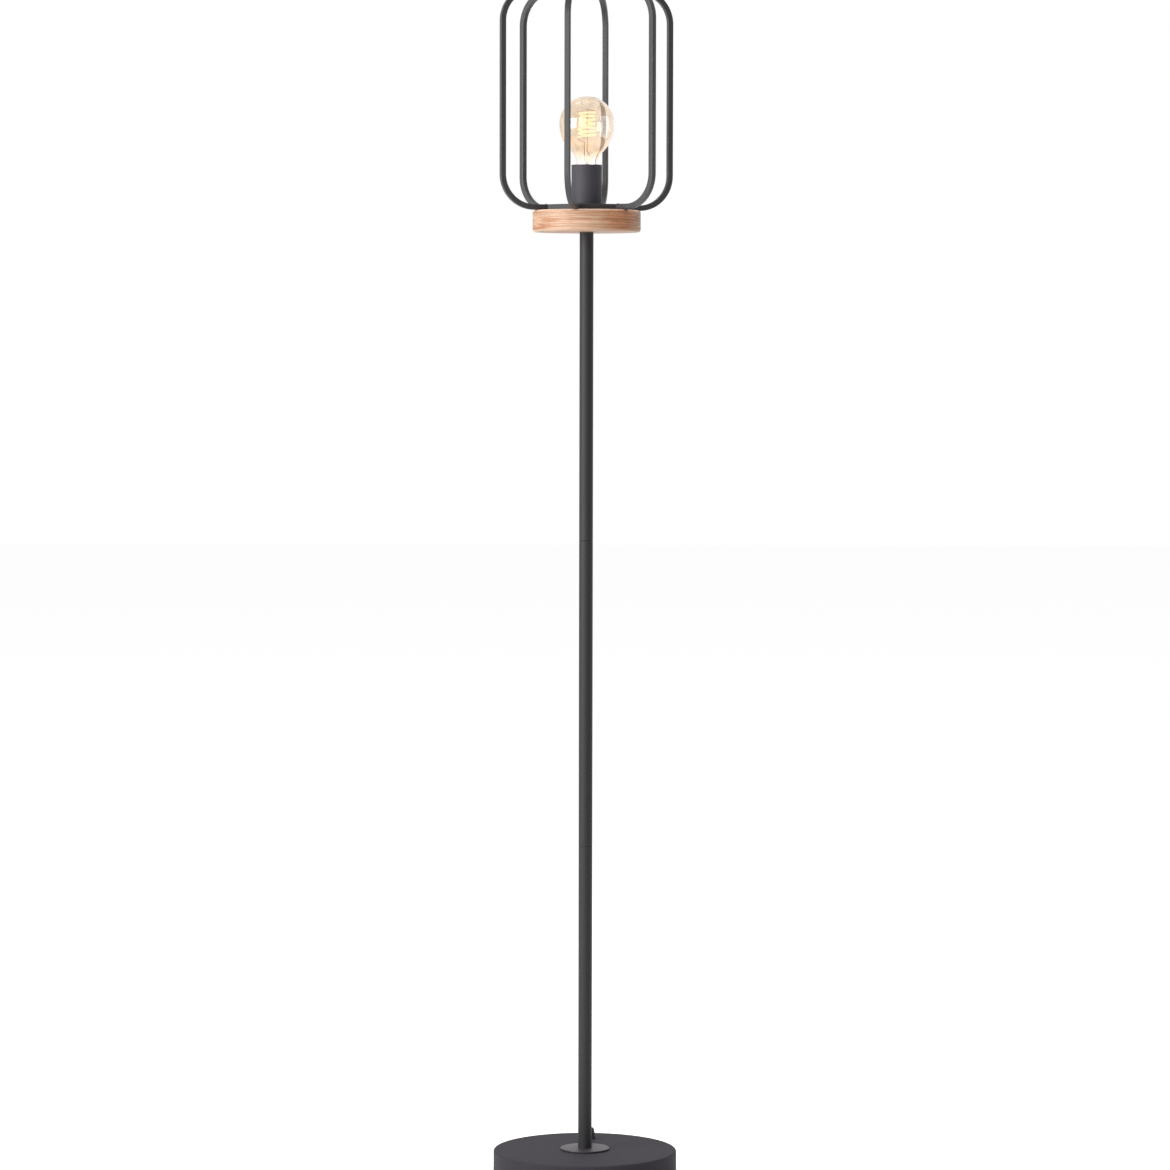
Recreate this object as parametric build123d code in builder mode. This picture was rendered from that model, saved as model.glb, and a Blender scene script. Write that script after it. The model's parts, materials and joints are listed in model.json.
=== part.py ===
"""Wire cage floor lamp: weighted round base, three-piece pole, wooden disc and bent-bar cage round a bulb.

Millimetres, +Z up. The origin is the centre of the face that the lamp stands on, and the front is -Y.
Bar directions are angles from the front, positive towards +X.
"""

from build123d import *

import math
import os

# ---------------------------------------------------------------- driving dimensions

# Base
base_radius = 100.0
base_height = 25.0
base_edge = 2.0
cover_wall = 1.5
cover_lift = 1.0
cover_hem = 3.0
pad_radius = 93.0
pad_hole_radius = 33.0
pad_thickness = 3.0
pad_edge = 0.5
weight_gap = 0.4
recess_radius = 28.0
recess_ceiling = 20.0
rosette_radius = 26.8
rosette_thickness = 2.0
rosette_edge = 0.8

# Pole of three equal tubes
pole_radius = 7.5
pole_wall = 1.0
section_length = 333.5
section_names = ("pole_lower", "pole_middle", "pole_upper")
bush_length = 15.0
bush_inset = 0.5
tube_edge = 0.3

# Hollow M10 x 1 rod that holds base, tubes and head together, its thread left plain
rod_radius = 5.0
rod_bore_radius = 4.0
rod_clearance = 0.25
rod_edge = 0.4
rod_setback = 1.0
rod_stand = 1.5
nut_across_flats = 14.0
nut_height = 4.0
nut_corner_reach = 0.6
washer_radius = 14.0
washer_thickness = 1.5
washer_edge = 0.3

# Wooden disc
disc_radius = 58.5
disc_thickness = 23.5
disc_edge = 3.0

# Cage of square bar
bar_size = 6.0
bar_edge = 0.5
first_bar_angle = -12.5
bar_names = ("front", "front_right", "back_right", "back", "back_left", "front_left")
cage_radius = 97.5
cage_height = 240.0
bend_outer_radius = 38.0
ring_corner_radius = 46.5
plate_thickness = 2.0
plate_screw_circle = 27.0
plate_screw_count = 3
screw_radius = 1.6
screw_length = 14.0
screw_head_radius = 3.4
screw_head_height = 2.0
screw_head_edge = 0.8

# Lampholder and its cover
cup_radius = 16.5
cup_wall = 0.8
cup_height = 47.0
cup_foot_edge = 1.2
cup_rim_edge = 0.2
holder_radius = 15.3
holder_wall = 2.0
holder_bore_radius = 13.8
holder_edge = 0.6
holder_below_cup = 3.5
holder_shell_wall = 0.45
contact_thickness = 0.4
contact_room = 1.6
terminal_x = 9.5
terminal_length = 4.0
terminal_width = 5.0
terminal_height = 3.4

# Bulb: 60 mm round bulb on a 27 mm screw cap
bulb_radius = 30.0
bulb_length = 106.0
glass_wall = 0.8
shoulder_radius = 42.0
shoulder_angle = 46.0
neck_radius = 11.2
bulb_seat_height = 17.0
cap_height = 27.0
tip_radius = 4.7
tip_height = 1.2
insulator_height = 4.0
lip_radius = 9.4
lip_rise = 1.0
cap_wall = 0.35
thread_radius = 13.0
thread_height = 16.5
cap_groove = 0.5
neck_depth = 5.0
board_radius = 10.2
board_thickness = 1.2
board_above_lip = 6.0

# Stem and curled filament
flare_height = 11.0
pinch_width = 8.0
pinch_depth = 3.0
pinch_height = 8.0
pinch_edge = 1.2
filament_radius = 9.2
filament_wire_radius = 0.95
filament_sides = 8
filament_pitch = 7.6
filament_quarters = 14
filament_above_tip = 62.0
filament_above_stem = 20.0
lead_wire_radius = 0.3
lead_wire_sides = 6

# Mains lead inside the lamp, and the gland that it enters by
flex_radius = 2.9
flex_level = 6.4
flex_setback = 0.8
core_radius = 1.0
core_sides = 8
gland_x = 5.0
gland_y = 62.5
gland_collar_radius = 6.4
gland_tip_radius = 4.4
gland_height = 12.5
gland_bore_radius = 3.1
gland_nut_height = 3.0

# ---------------------------------------------------------------- levels and sizes that follow

cover_underside = base_height - cover_wall
weight_bottom = pad_thickness
pole_top = base_height + len(section_names) * section_length
disc_top = pole_top + disc_thickness
plate_top = disc_top + plate_thickness
cup_top = plate_top + cup_height
cage_top = disc_top + cage_height

tube_bore_radius = pole_radius - pole_wall
rod_hole_radius = rod_radius + rod_clearance
rod_reach = bush_length - rod_setback
foot_washer_bottom = recess_ceiling - washer_thickness
foot_nut_bottom = foot_washer_bottom - nut_height
foot_rod_bottom = foot_nut_bottom - rod_setback

bar_half = bar_size / 2
bar_line_radius = cage_radius - bar_half
bend_line_radius = bend_outer_radius - bar_half
cos30 = math.cos(math.radians(30))
ring_inner_corner = ring_corner_radius - bar_size / cos30
hexagon_turn = first_bar_angle - 90

head_nut_bottom = plate_top + cup_wall
holder_bottom = head_nut_bottom + nut_height
holder_top = cup_top - holder_below_cup
head_rod_top = holder_bottom + holder_wall + rod_stand
flex_top = head_rod_top - flex_setback
bulb_bottom = disc_top + bulb_seat_height
bulb_centre = bulb_bottom + bulb_length - bulb_radius
socket_floor = bulb_bottom - contact_room
chamber_top = socket_floor - holder_wall

tip_top = bulb_bottom + tip_height
cap_bottom = tip_top + insulator_height
cap_top = bulb_bottom + cap_height
thread_bottom = cap_bottom + lip_rise
thread_top = thread_bottom + thread_height
rim_bottom = thread_top + 3 * cap_groove
glass_bottom = cap_top - neck_depth
flare_top = glass_bottom + flare_height
board_bottom = cap_bottom + board_above_lip
holder_shell_bottom = cap_bottom - rod_clearance
filament_bottom = bulb_bottom + filament_above_tip
filament_top = filament_bottom + filament_pitch * filament_quarters / 4
stem_top = filament_bottom - filament_above_stem

gland_stem_bottom = cover_underside - gland_nut_height - rod_stand
gland_stem_radius = rod_radius
gland_top = base_height + gland_height
gland_heading = math.degrees(math.atan2(gland_y, gland_x))
gland_reach = math.hypot(gland_x, gland_y)


def radial_plane(angle):
    """The upright plane through the lamp's axis at an angle from the front, with x outwards and y up."""
    turn = math.radians(angle)
    outwards = (math.sin(turn), -math.cos(turn), 0)
    normal = (-math.cos(turn), -math.sin(turn), 0)
    return Plane(origin=(0, 0, 0), x_dir=outwards, z_dir=normal)


def outer_rims(part, radius):
    """The circular edges of a part that are at least so large."""
    return part.edges().filter_by(GeomType.CIRCLE).filter_by(lambda edge: edge.radius > radius - 0.01)


# ---------------------------------------------------------------- base


def make_base_cover():
    """Spun steel shell with a rounded rim and a hem turned in under the weight."""
    with BuildPart() as base_cover:
        with BuildSketch(Plane.XZ):
            with BuildLine():
                Polyline(
                    (0, base_height),
                    (base_radius, base_height),
                    (base_radius, cover_lift),
                    (base_radius - cover_hem, cover_lift),
                    (base_radius - cover_hem, cover_lift + cover_wall),
                    (base_radius - cover_wall, cover_lift + cover_wall),
                    (base_radius - cover_wall, cover_underside),
                    (0, cover_underside),
                    close=True,
                )
            make_face()
        revolve(axis=Axis.Z)
        fillet(base_cover.edges().filter_by(GeomType.CIRCLE).group_by(Axis.Z)[-1], base_edge)
        with BuildSketch(Plane.XY.offset(cover_underside)):
            Circle(rod_hole_radius)
            with Locations((gland_x, gland_y)):
                Circle(gland_stem_radius)
        extrude(amount=cover_wall, mode=Mode.SUBTRACT)
    base_cover.part.label = "base_cover"
    export_step(base_cover.part, "parts/base_cover.step")


def make_base_weight():
    """Cast-iron ballast, hollowed for the nut, the lead's channel and the gland."""
    pocket_radius = 12.0
    channel_width = 10.0
    channel_top = 12.0
    with BuildPart() as base_weight:
        with BuildSketch(Plane.XY.offset(weight_bottom)):
            Circle(base_radius - cover_wall - weight_gap)
        extrude(amount=cover_underside - weight_bottom)
        chamfer(base_weight.edges().filter_by(GeomType.CIRCLE), base_edge)
        with BuildSketch(Plane.XY.offset(weight_bottom)):
            Circle(recess_radius)
        extrude(amount=recess_ceiling - weight_bottom, mode=Mode.SUBTRACT)
        with BuildSketch(Plane.XY.offset(weight_bottom)):
            Circle(rod_hole_radius)
            with Locations((gland_x, gland_y)):
                Circle(pocket_radius)
        extrude(amount=cover_underside - weight_bottom, mode=Mode.SUBTRACT)
        with BuildSketch(Plane.XY.offset(weight_bottom)):
            with Locations(Location((gland_x / 2, gland_y / 2), gland_heading)):
                Rectangle(gland_reach, channel_width)
        extrude(amount=channel_top - weight_bottom, mode=Mode.SUBTRACT)
    base_weight.part.label = "base_weight"
    export_step(base_weight.part, "parts/base_weight.step")


def make_base_pad():
    """Foam ring glued under the weight, the only piece that meets the floor."""
    with BuildPart() as base_pad:
        with BuildSketch():
            Circle(pad_radius)
            Circle(pad_hole_radius, mode=Mode.SUBTRACT)
        extrude(amount=pad_thickness)
        chamfer(base_pad.edges().group_by(Axis.Z)[0], pad_edge)
    base_pad.part.label = "base_pad"
    export_step(base_pad.part, "parts/base_pad.step")


def make_foot_rosette():
    """Flat steel collar that covers the joint at the foot of the pole."""
    with BuildPart() as foot_rosette:
        with BuildSketch(Plane.XY.offset(base_height)):
            Circle(rosette_radius)
            Circle(pole_radius, mode=Mode.SUBTRACT)
        extrude(amount=rosette_thickness)
        fillet(outer_rims(foot_rosette, rosette_radius).sort_by(Axis.Z)[-1], rosette_edge)
    foot_rosette.part.label = "foot_rosette"
    export_step(foot_rosette.part, "parts/foot_rosette.step")


# ---------------------------------------------------------------- threaded rods, nuts and washer


def make_threaded_rod(name, bottom, top):
    """Hollow rod with eased ends."""
    with BuildPart() as rod:
        with BuildSketch(Plane.XY.offset(bottom)):
            Circle(rod_radius)
            Circle(rod_bore_radius, mode=Mode.SUBTRACT)
        extrude(amount=top - bottom)
        chamfer(outer_rims(rod, rod_radius), rod_edge)
    rod.part.label = name
    export_step(rod.part, f"parts/{name}.step")


def make_hex_nut(name, bottom, height, x=0, y=0):
    """Thin hexagon nut for the threaded rod."""
    with BuildPart() as nut:
        with BuildSketch(Plane.XY.offset(bottom)):
            with Locations((x, y)):
                RegularPolygon(nut_across_flats / 2, 6, major_radius=False)
                Circle(rod_radius, mode=Mode.SUBTRACT)
        extrude(amount=height)
        with BuildSketch(Plane.XY.offset(bottom)):
            with Locations((x, y)):
                Circle(nut_across_flats / 2 + nut_corner_reach)
        extrude(amount=height, mode=Mode.INTERSECT)
    nut.part.label = name
    export_step(nut.part, f"parts/{name}.step")


def make_foot_washer():
    """Wide washer that spreads the nut's pull over the weight."""
    with BuildPart() as foot_washer:
        with BuildSketch(Plane.XY.offset(foot_washer_bottom)):
            Circle(washer_radius)
            Circle(rod_hole_radius, mode=Mode.SUBTRACT)
        extrude(amount=washer_thickness)
        chamfer(outer_rims(foot_washer, washer_radius).sort_by(Axis.Z)[0], washer_edge)
    foot_washer.part.label = "foot_washer"
    export_step(foot_washer.part, "parts/foot_washer.step")


# ---------------------------------------------------------------- pole and wooden disc


def make_pole_section(name, bottom):
    """One steel tube, its ends eased so that each joint shows as a fine line."""
    with BuildPart() as tube:
        with BuildSketch(Plane.XY.offset(bottom)):
            Circle(pole_radius)
            Circle(tube_bore_radius, mode=Mode.SUBTRACT)
        extrude(amount=section_length)
        chamfer(outer_rims(tube, pole_radius), tube_edge)
    tube.part.label = name
    export_step(tube.part, f"parts/{name}.step")


def make_pole_bushes():
    """Threaded bushes pressed into both ends of every tube."""
    with BuildPart() as pole_bushes:
        for section in range(len(section_names)):
            first = base_height + section * section_length + bush_inset
            last = first + section_length - bush_length - 2 * bush_inset
            for level in (first, last):
                with BuildSketch(Plane.XY.offset(level)):
                    Circle(tube_bore_radius)
                    Circle(rod_radius, mode=Mode.SUBTRACT)
                extrude(amount=bush_length)
    pole_bushes.part.label = "pole_bushes"
    export_step(pole_bushes.part, "parts/pole_bushes.step")


def make_wood_disc():
    """Turned wooden disc that carries the cage, with rounded edges and a hole for the rod."""
    with BuildPart() as wood_disc:
        with BuildSketch(Plane.XY.offset(pole_top)):
            Circle(disc_radius)
        extrude(amount=disc_thickness)
        fillet(wood_disc.edges().filter_by(GeomType.CIRCLE), disc_edge)
        with BuildSketch(Plane.XY.offset(pole_top)):
            Circle(rod_hole_radius)
        extrude(amount=disc_thickness, mode=Mode.SUBTRACT)
        with BuildSketch(Plane.XY.offset(disc_top)):
            with PolarLocations(plate_screw_circle, plate_screw_count, start_angle=hexagon_turn):
                Circle(screw_radius)
        extrude(amount=-screw_length, mode=Mode.SUBTRACT)
    wood_disc.part.label = "wood_disc"
    export_step(wood_disc.part, "parts/wood_disc.step")


# ---------------------------------------------------------------- cage


def make_cage_bar(name, angle):
    """One square bar bent to a C, both ends notched to sit on a corner of the rings."""
    low = disc_top + bar_half
    high = cage_top - bar_half
    inner = ring_corner_radius - bar_size
    radial = radial_plane(angle)
    with BuildPart() as bar:
        with BuildLine(radial):
            FilletPolyline(
                (inner, low),
                (bar_line_radius, low),
                (bar_line_radius, high),
                (inner, high),
                radius=bend_line_radius,
            )
        start = radial.from_local_coords((inner, low, 0))
        with BuildSketch(Plane(origin=start, x_dir=(0, 0, 1), z_dir=radial.x_dir)) as section:
            Rectangle(bar_size, bar_size)
            chamfer(section.vertices(), bar_edge)
        sweep()
        with BuildSketch(Plane.XY.offset(disc_top)):
            RegularPolygon(ring_corner_radius, 6, rotation=hexagon_turn)
        extrude(amount=cage_height, mode=Mode.SUBTRACT)
    bar.part.label = name
    export_step(bar.part, f"parts/{name}.step")


def make_cage_ring(name, bottom):
    """Hexagonal ring of the same square bar, mitred and welded at its corners."""
    with BuildPart() as ring:
        with BuildSketch(Plane.XY.offset(bottom)):
            RegularPolygon(ring_corner_radius, 6, rotation=hexagon_turn)
            RegularPolygon(ring_inner_corner, 6, rotation=hexagon_turn, mode=Mode.SUBTRACT)
        extrude(amount=bar_size)
        chamfer(ring.edges().filter_by(Plane.XY), bar_edge)
    ring.part.label = name
    export_step(ring.part, f"parts/{name}.step")


def make_cage_plate():
    """Plate welded inside the lower ring, which the rod clamps to the wooden disc."""
    with BuildPart() as cage_plate:
        with BuildSketch(Plane.XY.offset(disc_top)):
            RegularPolygon(ring_inner_corner, 6, rotation=hexagon_turn)
            Circle(rod_hole_radius, mode=Mode.SUBTRACT)
            with PolarLocations(plate_screw_circle, plate_screw_count, start_angle=hexagon_turn):
                Circle(screw_radius + rod_clearance, mode=Mode.SUBTRACT)
        extrude(amount=plate_thickness)
    cage_plate.part.label = "cage_plate"
    export_step(cage_plate.part, "parts/cage_plate.step")


def make_plate_screws():
    """Pan-head wood screws that stop the cage turning on the disc."""
    with BuildPart() as plate_screws:
        with BuildSketch(Plane.XY.offset(plate_top)):
            with PolarLocations(plate_screw_circle, plate_screw_count, start_angle=hexagon_turn):
                Circle(screw_head_radius)
        extrude(amount=screw_head_height)
        chamfer(plate_screws.edges().filter_by(GeomType.CIRCLE).group_by(Axis.Z)[-1], screw_head_edge)
        with BuildSketch(Plane.XY.offset(plate_top)):
            with PolarLocations(plate_screw_circle, plate_screw_count, start_angle=hexagon_turn):
                Circle(screw_radius)
        extrude(amount=-(plate_thickness + screw_length))
    plate_screws.part.label = "plate_screws"
    export_step(plate_screws.part, "parts/plate_screws.step")


# ---------------------------------------------------------------- lampholder


def make_socket_cup():
    """Drawn steel cup that hides the lampholder, open at the top."""
    with BuildPart() as socket_cup:
        with BuildSketch(Plane.XY.offset(plate_top)):
            Circle(cup_radius)
        extrude(amount=cup_height)
        chamfer(socket_cup.edges().filter_by(GeomType.CIRCLE).group_by(Axis.Z)[0], cup_foot_edge)
        with BuildSketch(Plane.XY.offset(plate_top + cup_wall)):
            Circle(cup_radius - cup_wall)
        extrude(amount=cup_height - cup_wall, mode=Mode.SUBTRACT)
        with BuildSketch(Plane.XY.offset(plate_top)):
            Circle(rod_hole_radius)
        extrude(amount=cup_wall, mode=Mode.SUBTRACT)
        chamfer(socket_cup.edges().filter_by(GeomType.CIRCLE).group_by(Axis.Z)[-1], cup_rim_edge)
    socket_cup.part.label = "socket_cup"
    export_step(socket_cup.part, "parts/socket_cup.step")


def make_lampholder_body():
    """Moulded insulating body: a wiring chamber below, the bulb's socket above."""
    with BuildPart() as lampholder_body:
        with BuildSketch(Plane.XY.offset(holder_bottom)):
            Circle(holder_radius)
        extrude(amount=holder_top - holder_bottom)
        chamfer(outer_rims(lampholder_body, holder_radius), holder_edge)
        with BuildSketch(Plane.XY.offset(holder_bottom)):
            Circle(rod_radius)
        extrude(amount=holder_wall, mode=Mode.SUBTRACT)
        with BuildSketch(Plane.XY.offset(holder_bottom + holder_wall)):
            Circle(holder_radius - holder_wall)
        extrude(amount=chamber_top - holder_bottom - holder_wall, mode=Mode.SUBTRACT)
        with BuildSketch(Plane.XY.offset(socket_floor)):
            Circle(holder_bore_radius)
        extrude(amount=holder_top - socket_floor, mode=Mode.SUBTRACT)
        with BuildSketch(Plane.XY.offset(chamber_top)):
            with Locations((terminal_x, 0), (-terminal_x, 0)):
                Rectangle(contact_thickness, terminal_width)
        extrude(amount=holder_wall, mode=Mode.SUBTRACT)
    lampholder_body.part.label = "lampholder_body"
    export_step(lampholder_body.part, "parts/lampholder_body.step")


def make_lampholder_shell():
    """Brass sleeve that the bulb's cap screws into, its thread left plain."""
    with BuildPart() as lampholder_shell:
        with BuildSketch(Plane.XY.offset(holder_shell_bottom)):
            Circle(holder_bore_radius)
            Circle(holder_bore_radius - holder_shell_wall, mode=Mode.SUBTRACT)
        extrude(amount=cap_top - holder_shell_bottom)
    lampholder_shell.part.label = "lampholder_shell"
    export_step(lampholder_shell.part, "parts/lampholder_shell.step")


def make_contact(name, points):
    """Bent brass strip, drawn as the middle line of its thickness seen from the side."""
    strip_width = 4.0
    with BuildPart() as contact:
        with BuildSketch(Plane.XZ):
            with BuildLine():
                Polyline(*points)
            trace(line_width=contact_thickness)
        extrude(amount=strip_width / 2, both=True)
    contact.part.label = name
    export_step(contact.part, f"parts/{name}.step")


def make_contacts():
    """Spring tongue under the bulb's tip, and the strip that feeds the threaded sleeve."""
    tongue_root = 4.5
    tongue_end = 2.0
    tongue_gap = 0.4
    strip_gap = 0.2
    on_floor = socket_floor + contact_thickness / 2
    tongue_level = bulb_bottom - tongue_gap - contact_thickness / 2
    strip_x = holder_bore_radius - contact_thickness / 2 - strip_gap
    make_contact(
        "centre_contact",
        [
            (terminal_x, chamber_top),
            (terminal_x, on_floor),
            (tongue_root, on_floor),
            (tongue_end, tongue_level),
            (-tongue_end, tongue_level),
        ],
    )
    make_contact(
        "side_contact",
        [
            (-terminal_x, chamber_top),
            (-terminal_x, on_floor),
            (-strip_x, on_floor),
            (-strip_x, holder_shell_bottom),
        ],
    )


def make_terminals():
    """Brass clamp blocks on the underside of the socket floor, one for each core."""
    block_edge = 0.4
    with BuildPart() as terminals:
        with BuildSketch(Plane.XY.offset(chamber_top - terminal_height)):
            with Locations((terminal_x, 0), (-terminal_x, 0)):
                Rectangle(terminal_length, terminal_width)
        extrude(amount=terminal_height)
        chamfer(terminals.edges().filter_by(Axis.Z), block_edge)
    terminals.part.label = "terminals"
    export_step(terminals.part, "parts/terminals.step")


# ---------------------------------------------------------------- bulb


def glass_outline(inset):
    """Arcs of the bulb's side from the top to the neck, moved inwards by an inset."""
    shoulder_turn = math.radians(shoulder_angle)
    shoulder_x = bulb_radius - shoulder_radius
    hollow_start = shoulder_x + shoulder_radius * math.cos(shoulder_turn)
    hollow_radius = (hollow_start - neck_radius) / (1 - math.cos(shoulder_turn))
    hollow_drop = (shoulder_radius + hollow_radius) * math.sin(shoulder_turn)
    hollow_centre = (neck_radius + hollow_radius, bulb_centre - hollow_drop)
    CenterArc((0, bulb_centre), bulb_radius - inset, 90, -90)
    CenterArc((shoulder_x, bulb_centre), shoulder_radius - inset, 0, -shoulder_angle)
    CenterArc(hollow_centre, hollow_radius + inset, 180 - shoulder_angle, shoulder_angle)
    Line((neck_radius - inset, hollow_centre[1]), (neck_radius - inset, glass_bottom))


def make_bulb_glass():
    """Blown envelope of even thickness, open at the neck."""
    with BuildPart() as bulb_glass:
        with BuildSketch(Plane.XZ):
            with BuildLine():
                glass_outline(0)
                glass_outline(glass_wall)
                Line((0, bulb_centre + bulb_radius), (0, bulb_centre + bulb_radius - glass_wall))
                Line((neck_radius, glass_bottom), (neck_radius - glass_wall, glass_bottom))
            make_face()
        revolve(axis=Axis.Z)
    bulb_glass.part.label = "bulb_glass"
    export_step(bulb_glass.part, "parts/bulb_glass.step")


def cap_outline(inset):
    """Side of the screw cap from lip to rim, moved inwards by an inset, with its thread left plain."""
    side = thread_radius - inset
    Polyline(
        (side - lip_rise, cap_bottom + inset),
        (side, thread_bottom),
        (side, thread_top),
        (side - cap_groove, thread_top + cap_groove),
        (side - cap_groove, thread_top + 2 * cap_groove),
        (side, rim_bottom),
        (side, cap_top),
    )


def make_bulb_cap():
    """Pressed screw cap with a lip round its insulator and a groove above its thread."""
    lip_end = thread_radius - lip_rise
    with BuildPart() as bulb_cap:
        with BuildSketch(Plane.XZ):
            with BuildLine():
                cap_outline(0)
                cap_outline(cap_wall)
                Polyline(
                    (lip_end, cap_bottom),
                    (lip_radius, cap_bottom),
                    (lip_radius, cap_bottom + cap_wall),
                    (lip_end - cap_wall, cap_bottom + cap_wall),
                )
                Line((thread_radius, cap_top), (thread_radius - cap_wall, cap_top))
            make_face()
        revolve(axis=Axis.Z)
    bulb_cap.part.label = "bulb_cap"
    export_step(bulb_cap.part, "parts/bulb_cap.step")


def make_bulb_cement():
    """Ring of cement that holds the glass in the cap's rim."""
    cement_dip = 0.4
    with BuildPart() as bulb_cement:
        with BuildSketch(Plane.XY.offset(rim_bottom)):
            Circle(thread_radius - cap_wall)
            Circle(neck_radius, mode=Mode.SUBTRACT)
        extrude(amount=cap_top - cement_dip - rim_bottom)
    bulb_cement.part.label = "bulb_cement"
    export_step(bulb_cement.part, "parts/bulb_cement.step")


def make_bulb_insulator():
    """Dark glass cone between the cap and its tip."""
    cone_foot = 5.4
    cone_head = 10.8
    with BuildPart() as bulb_insulator:
        with BuildSketch(Plane.XZ):
            with BuildLine():
                Polyline(
                    (0, tip_top),
                    (cone_foot, tip_top),
                    (cone_head, cap_bottom),
                    (0, cap_bottom),
                    close=True,
                )
            make_face()
        revolve(axis=Axis.Z)
    bulb_insulator.part.label = "bulb_insulator"
    export_step(bulb_insulator.part, "parts/bulb_insulator.step")


def make_bulb_tip():
    """Domed solder contact under the insulator."""
    dome_radius = (tip_radius**2 + tip_height**2) / (2 * tip_height)
    dome_angle = math.degrees(math.asin(tip_radius / dome_radius))
    with BuildPart() as bulb_tip:
        with BuildSketch(Plane.XZ):
            with BuildLine():
                CenterArc((0, bulb_bottom + dome_radius), dome_radius, -90, dome_angle)
                Polyline((tip_radius, tip_top), (0, tip_top), (0, bulb_bottom))
            make_face()
        revolve(axis=Axis.Z)
    bulb_tip.part.label = "bulb_tip"
    export_step(bulb_tip.part, "parts/bulb_tip.step")


def make_bulb_stem():
    """Glass stem: a flare sealed to the neck, a rod, and the flat pinch that holds the wires."""
    flare_radius = neck_radius - glass_wall
    flare_wall = 0.8
    waist_level = glass_bottom + 4.0
    waist_outer = 5.4
    waist_inner = 4.4
    stem_radius = 2.6
    hollow_end = 0.6
    with BuildPart() as bulb_stem:
        with BuildSketch(Plane.XZ):
            with BuildLine():
                ThreePointArc(
                    (flare_radius, glass_bottom),
                    (waist_outer, waist_level),
                    (stem_radius, flare_top),
                )
                Polyline(
                    (stem_radius, flare_top),
                    (stem_radius, stem_top),
                    (0, stem_top),
                    (0, flare_top),
                    (hollow_end, flare_top),
                )
                ThreePointArc(
                    (hollow_end, flare_top),
                    (waist_inner, waist_level),
                    (flare_radius - flare_wall, glass_bottom),
                )
                Line((flare_radius - flare_wall, glass_bottom), (flare_radius, glass_bottom))
            make_face()
        revolve(axis=Axis.Z)
        with BuildSketch(Plane.XY.offset(stem_top - pinch_height)):
            RectangleRounded(pinch_width, pinch_depth, pinch_edge)
        extrude(amount=pinch_height)
    bulb_stem.part.label = "bulb_stem"
    export_step(bulb_stem.part, "parts/bulb_stem.step")


def filament_point(quarter):
    """Place of the coil's middle line after so many quarter turns, and its direction there."""
    turn = math.pi + quarter * math.pi / 2
    rise = filament_pitch / (2 * math.pi)
    place = Vector(
        filament_radius * math.cos(turn),
        filament_radius * math.sin(turn),
        filament_bottom + rise * (turn - math.pi),
    )
    heading = Vector(-filament_radius * math.sin(turn), filament_radius * math.cos(turn), rise)
    return place, heading.normalized()


def biarc_middle(start, start_heading, end, end_heading):
    """Point where two arcs meet that leave a start and reach an end in the given directions."""
    chord = end - start
    headings = start_heading + end_heading
    spread = 2 * (1 - start_heading.dot(end_heading))
    along = chord.dot(headings)
    reach = (-along + math.sqrt(along**2 + spread * chord.dot(chord))) / spread
    return (start + start_heading * reach + end - end_heading * reach) / 2


def filament_gap():
    """Least gap between neighbouring turns of the coil, measured on points along it."""
    steps = 24
    turns = filament_quarters / 4
    count = int(turns * 4 * steps)
    places = [filament_point(index / steps)[0] for index in range(count + 1)]
    skip = 2 * steps
    nearest = min(
        (places[first] - places[second]).length
        for first in range(0, count + 1, 2)
        for second in range(first + skip, count + 1, 2)
    )
    return nearest - 2 * filament_wire_radius


def make_bulb_filament():
    """Soft filament curled into an upright coil, each quarter turn a pair of tangent arcs."""
    lead = 2 * filament_wire_radius
    first_place, first_heading = filament_point(0)
    last_place, last_heading = filament_point(filament_quarters)
    start = first_place - first_heading * lead
    with BuildPart() as bulb_filament:
        with BuildLine() as coil:
            Line(start, first_place)
            for quarter in range(filament_quarters):
                place, heading = filament_point(quarter)
                end, end_heading = filament_point(quarter + 1)
                middle = biarc_middle(place, heading, end, end_heading)
                arc = TangentArc(place, middle, tangent=heading)
                TangentArc(middle, end, tangent=arc % 1)
            Line(last_place, last_place + last_heading * lead)
        with BuildSketch(Plane(origin=start, z_dir=first_heading)) as section:
            RegularPolygon(filament_wire_radius, filament_sides)
        sweep(path=coil.wire())
    print("filament gap", round(filament_gap(), 2))
    tube = coil.wire().length * section.sketch.area
    print("filament volume over length times section", round(bulb_filament.part.volume / tube, 4))
    bulb_filament.part.label = "bulb_filament"
    export_step(bulb_filament.part, "parts/bulb_filament.step")


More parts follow.
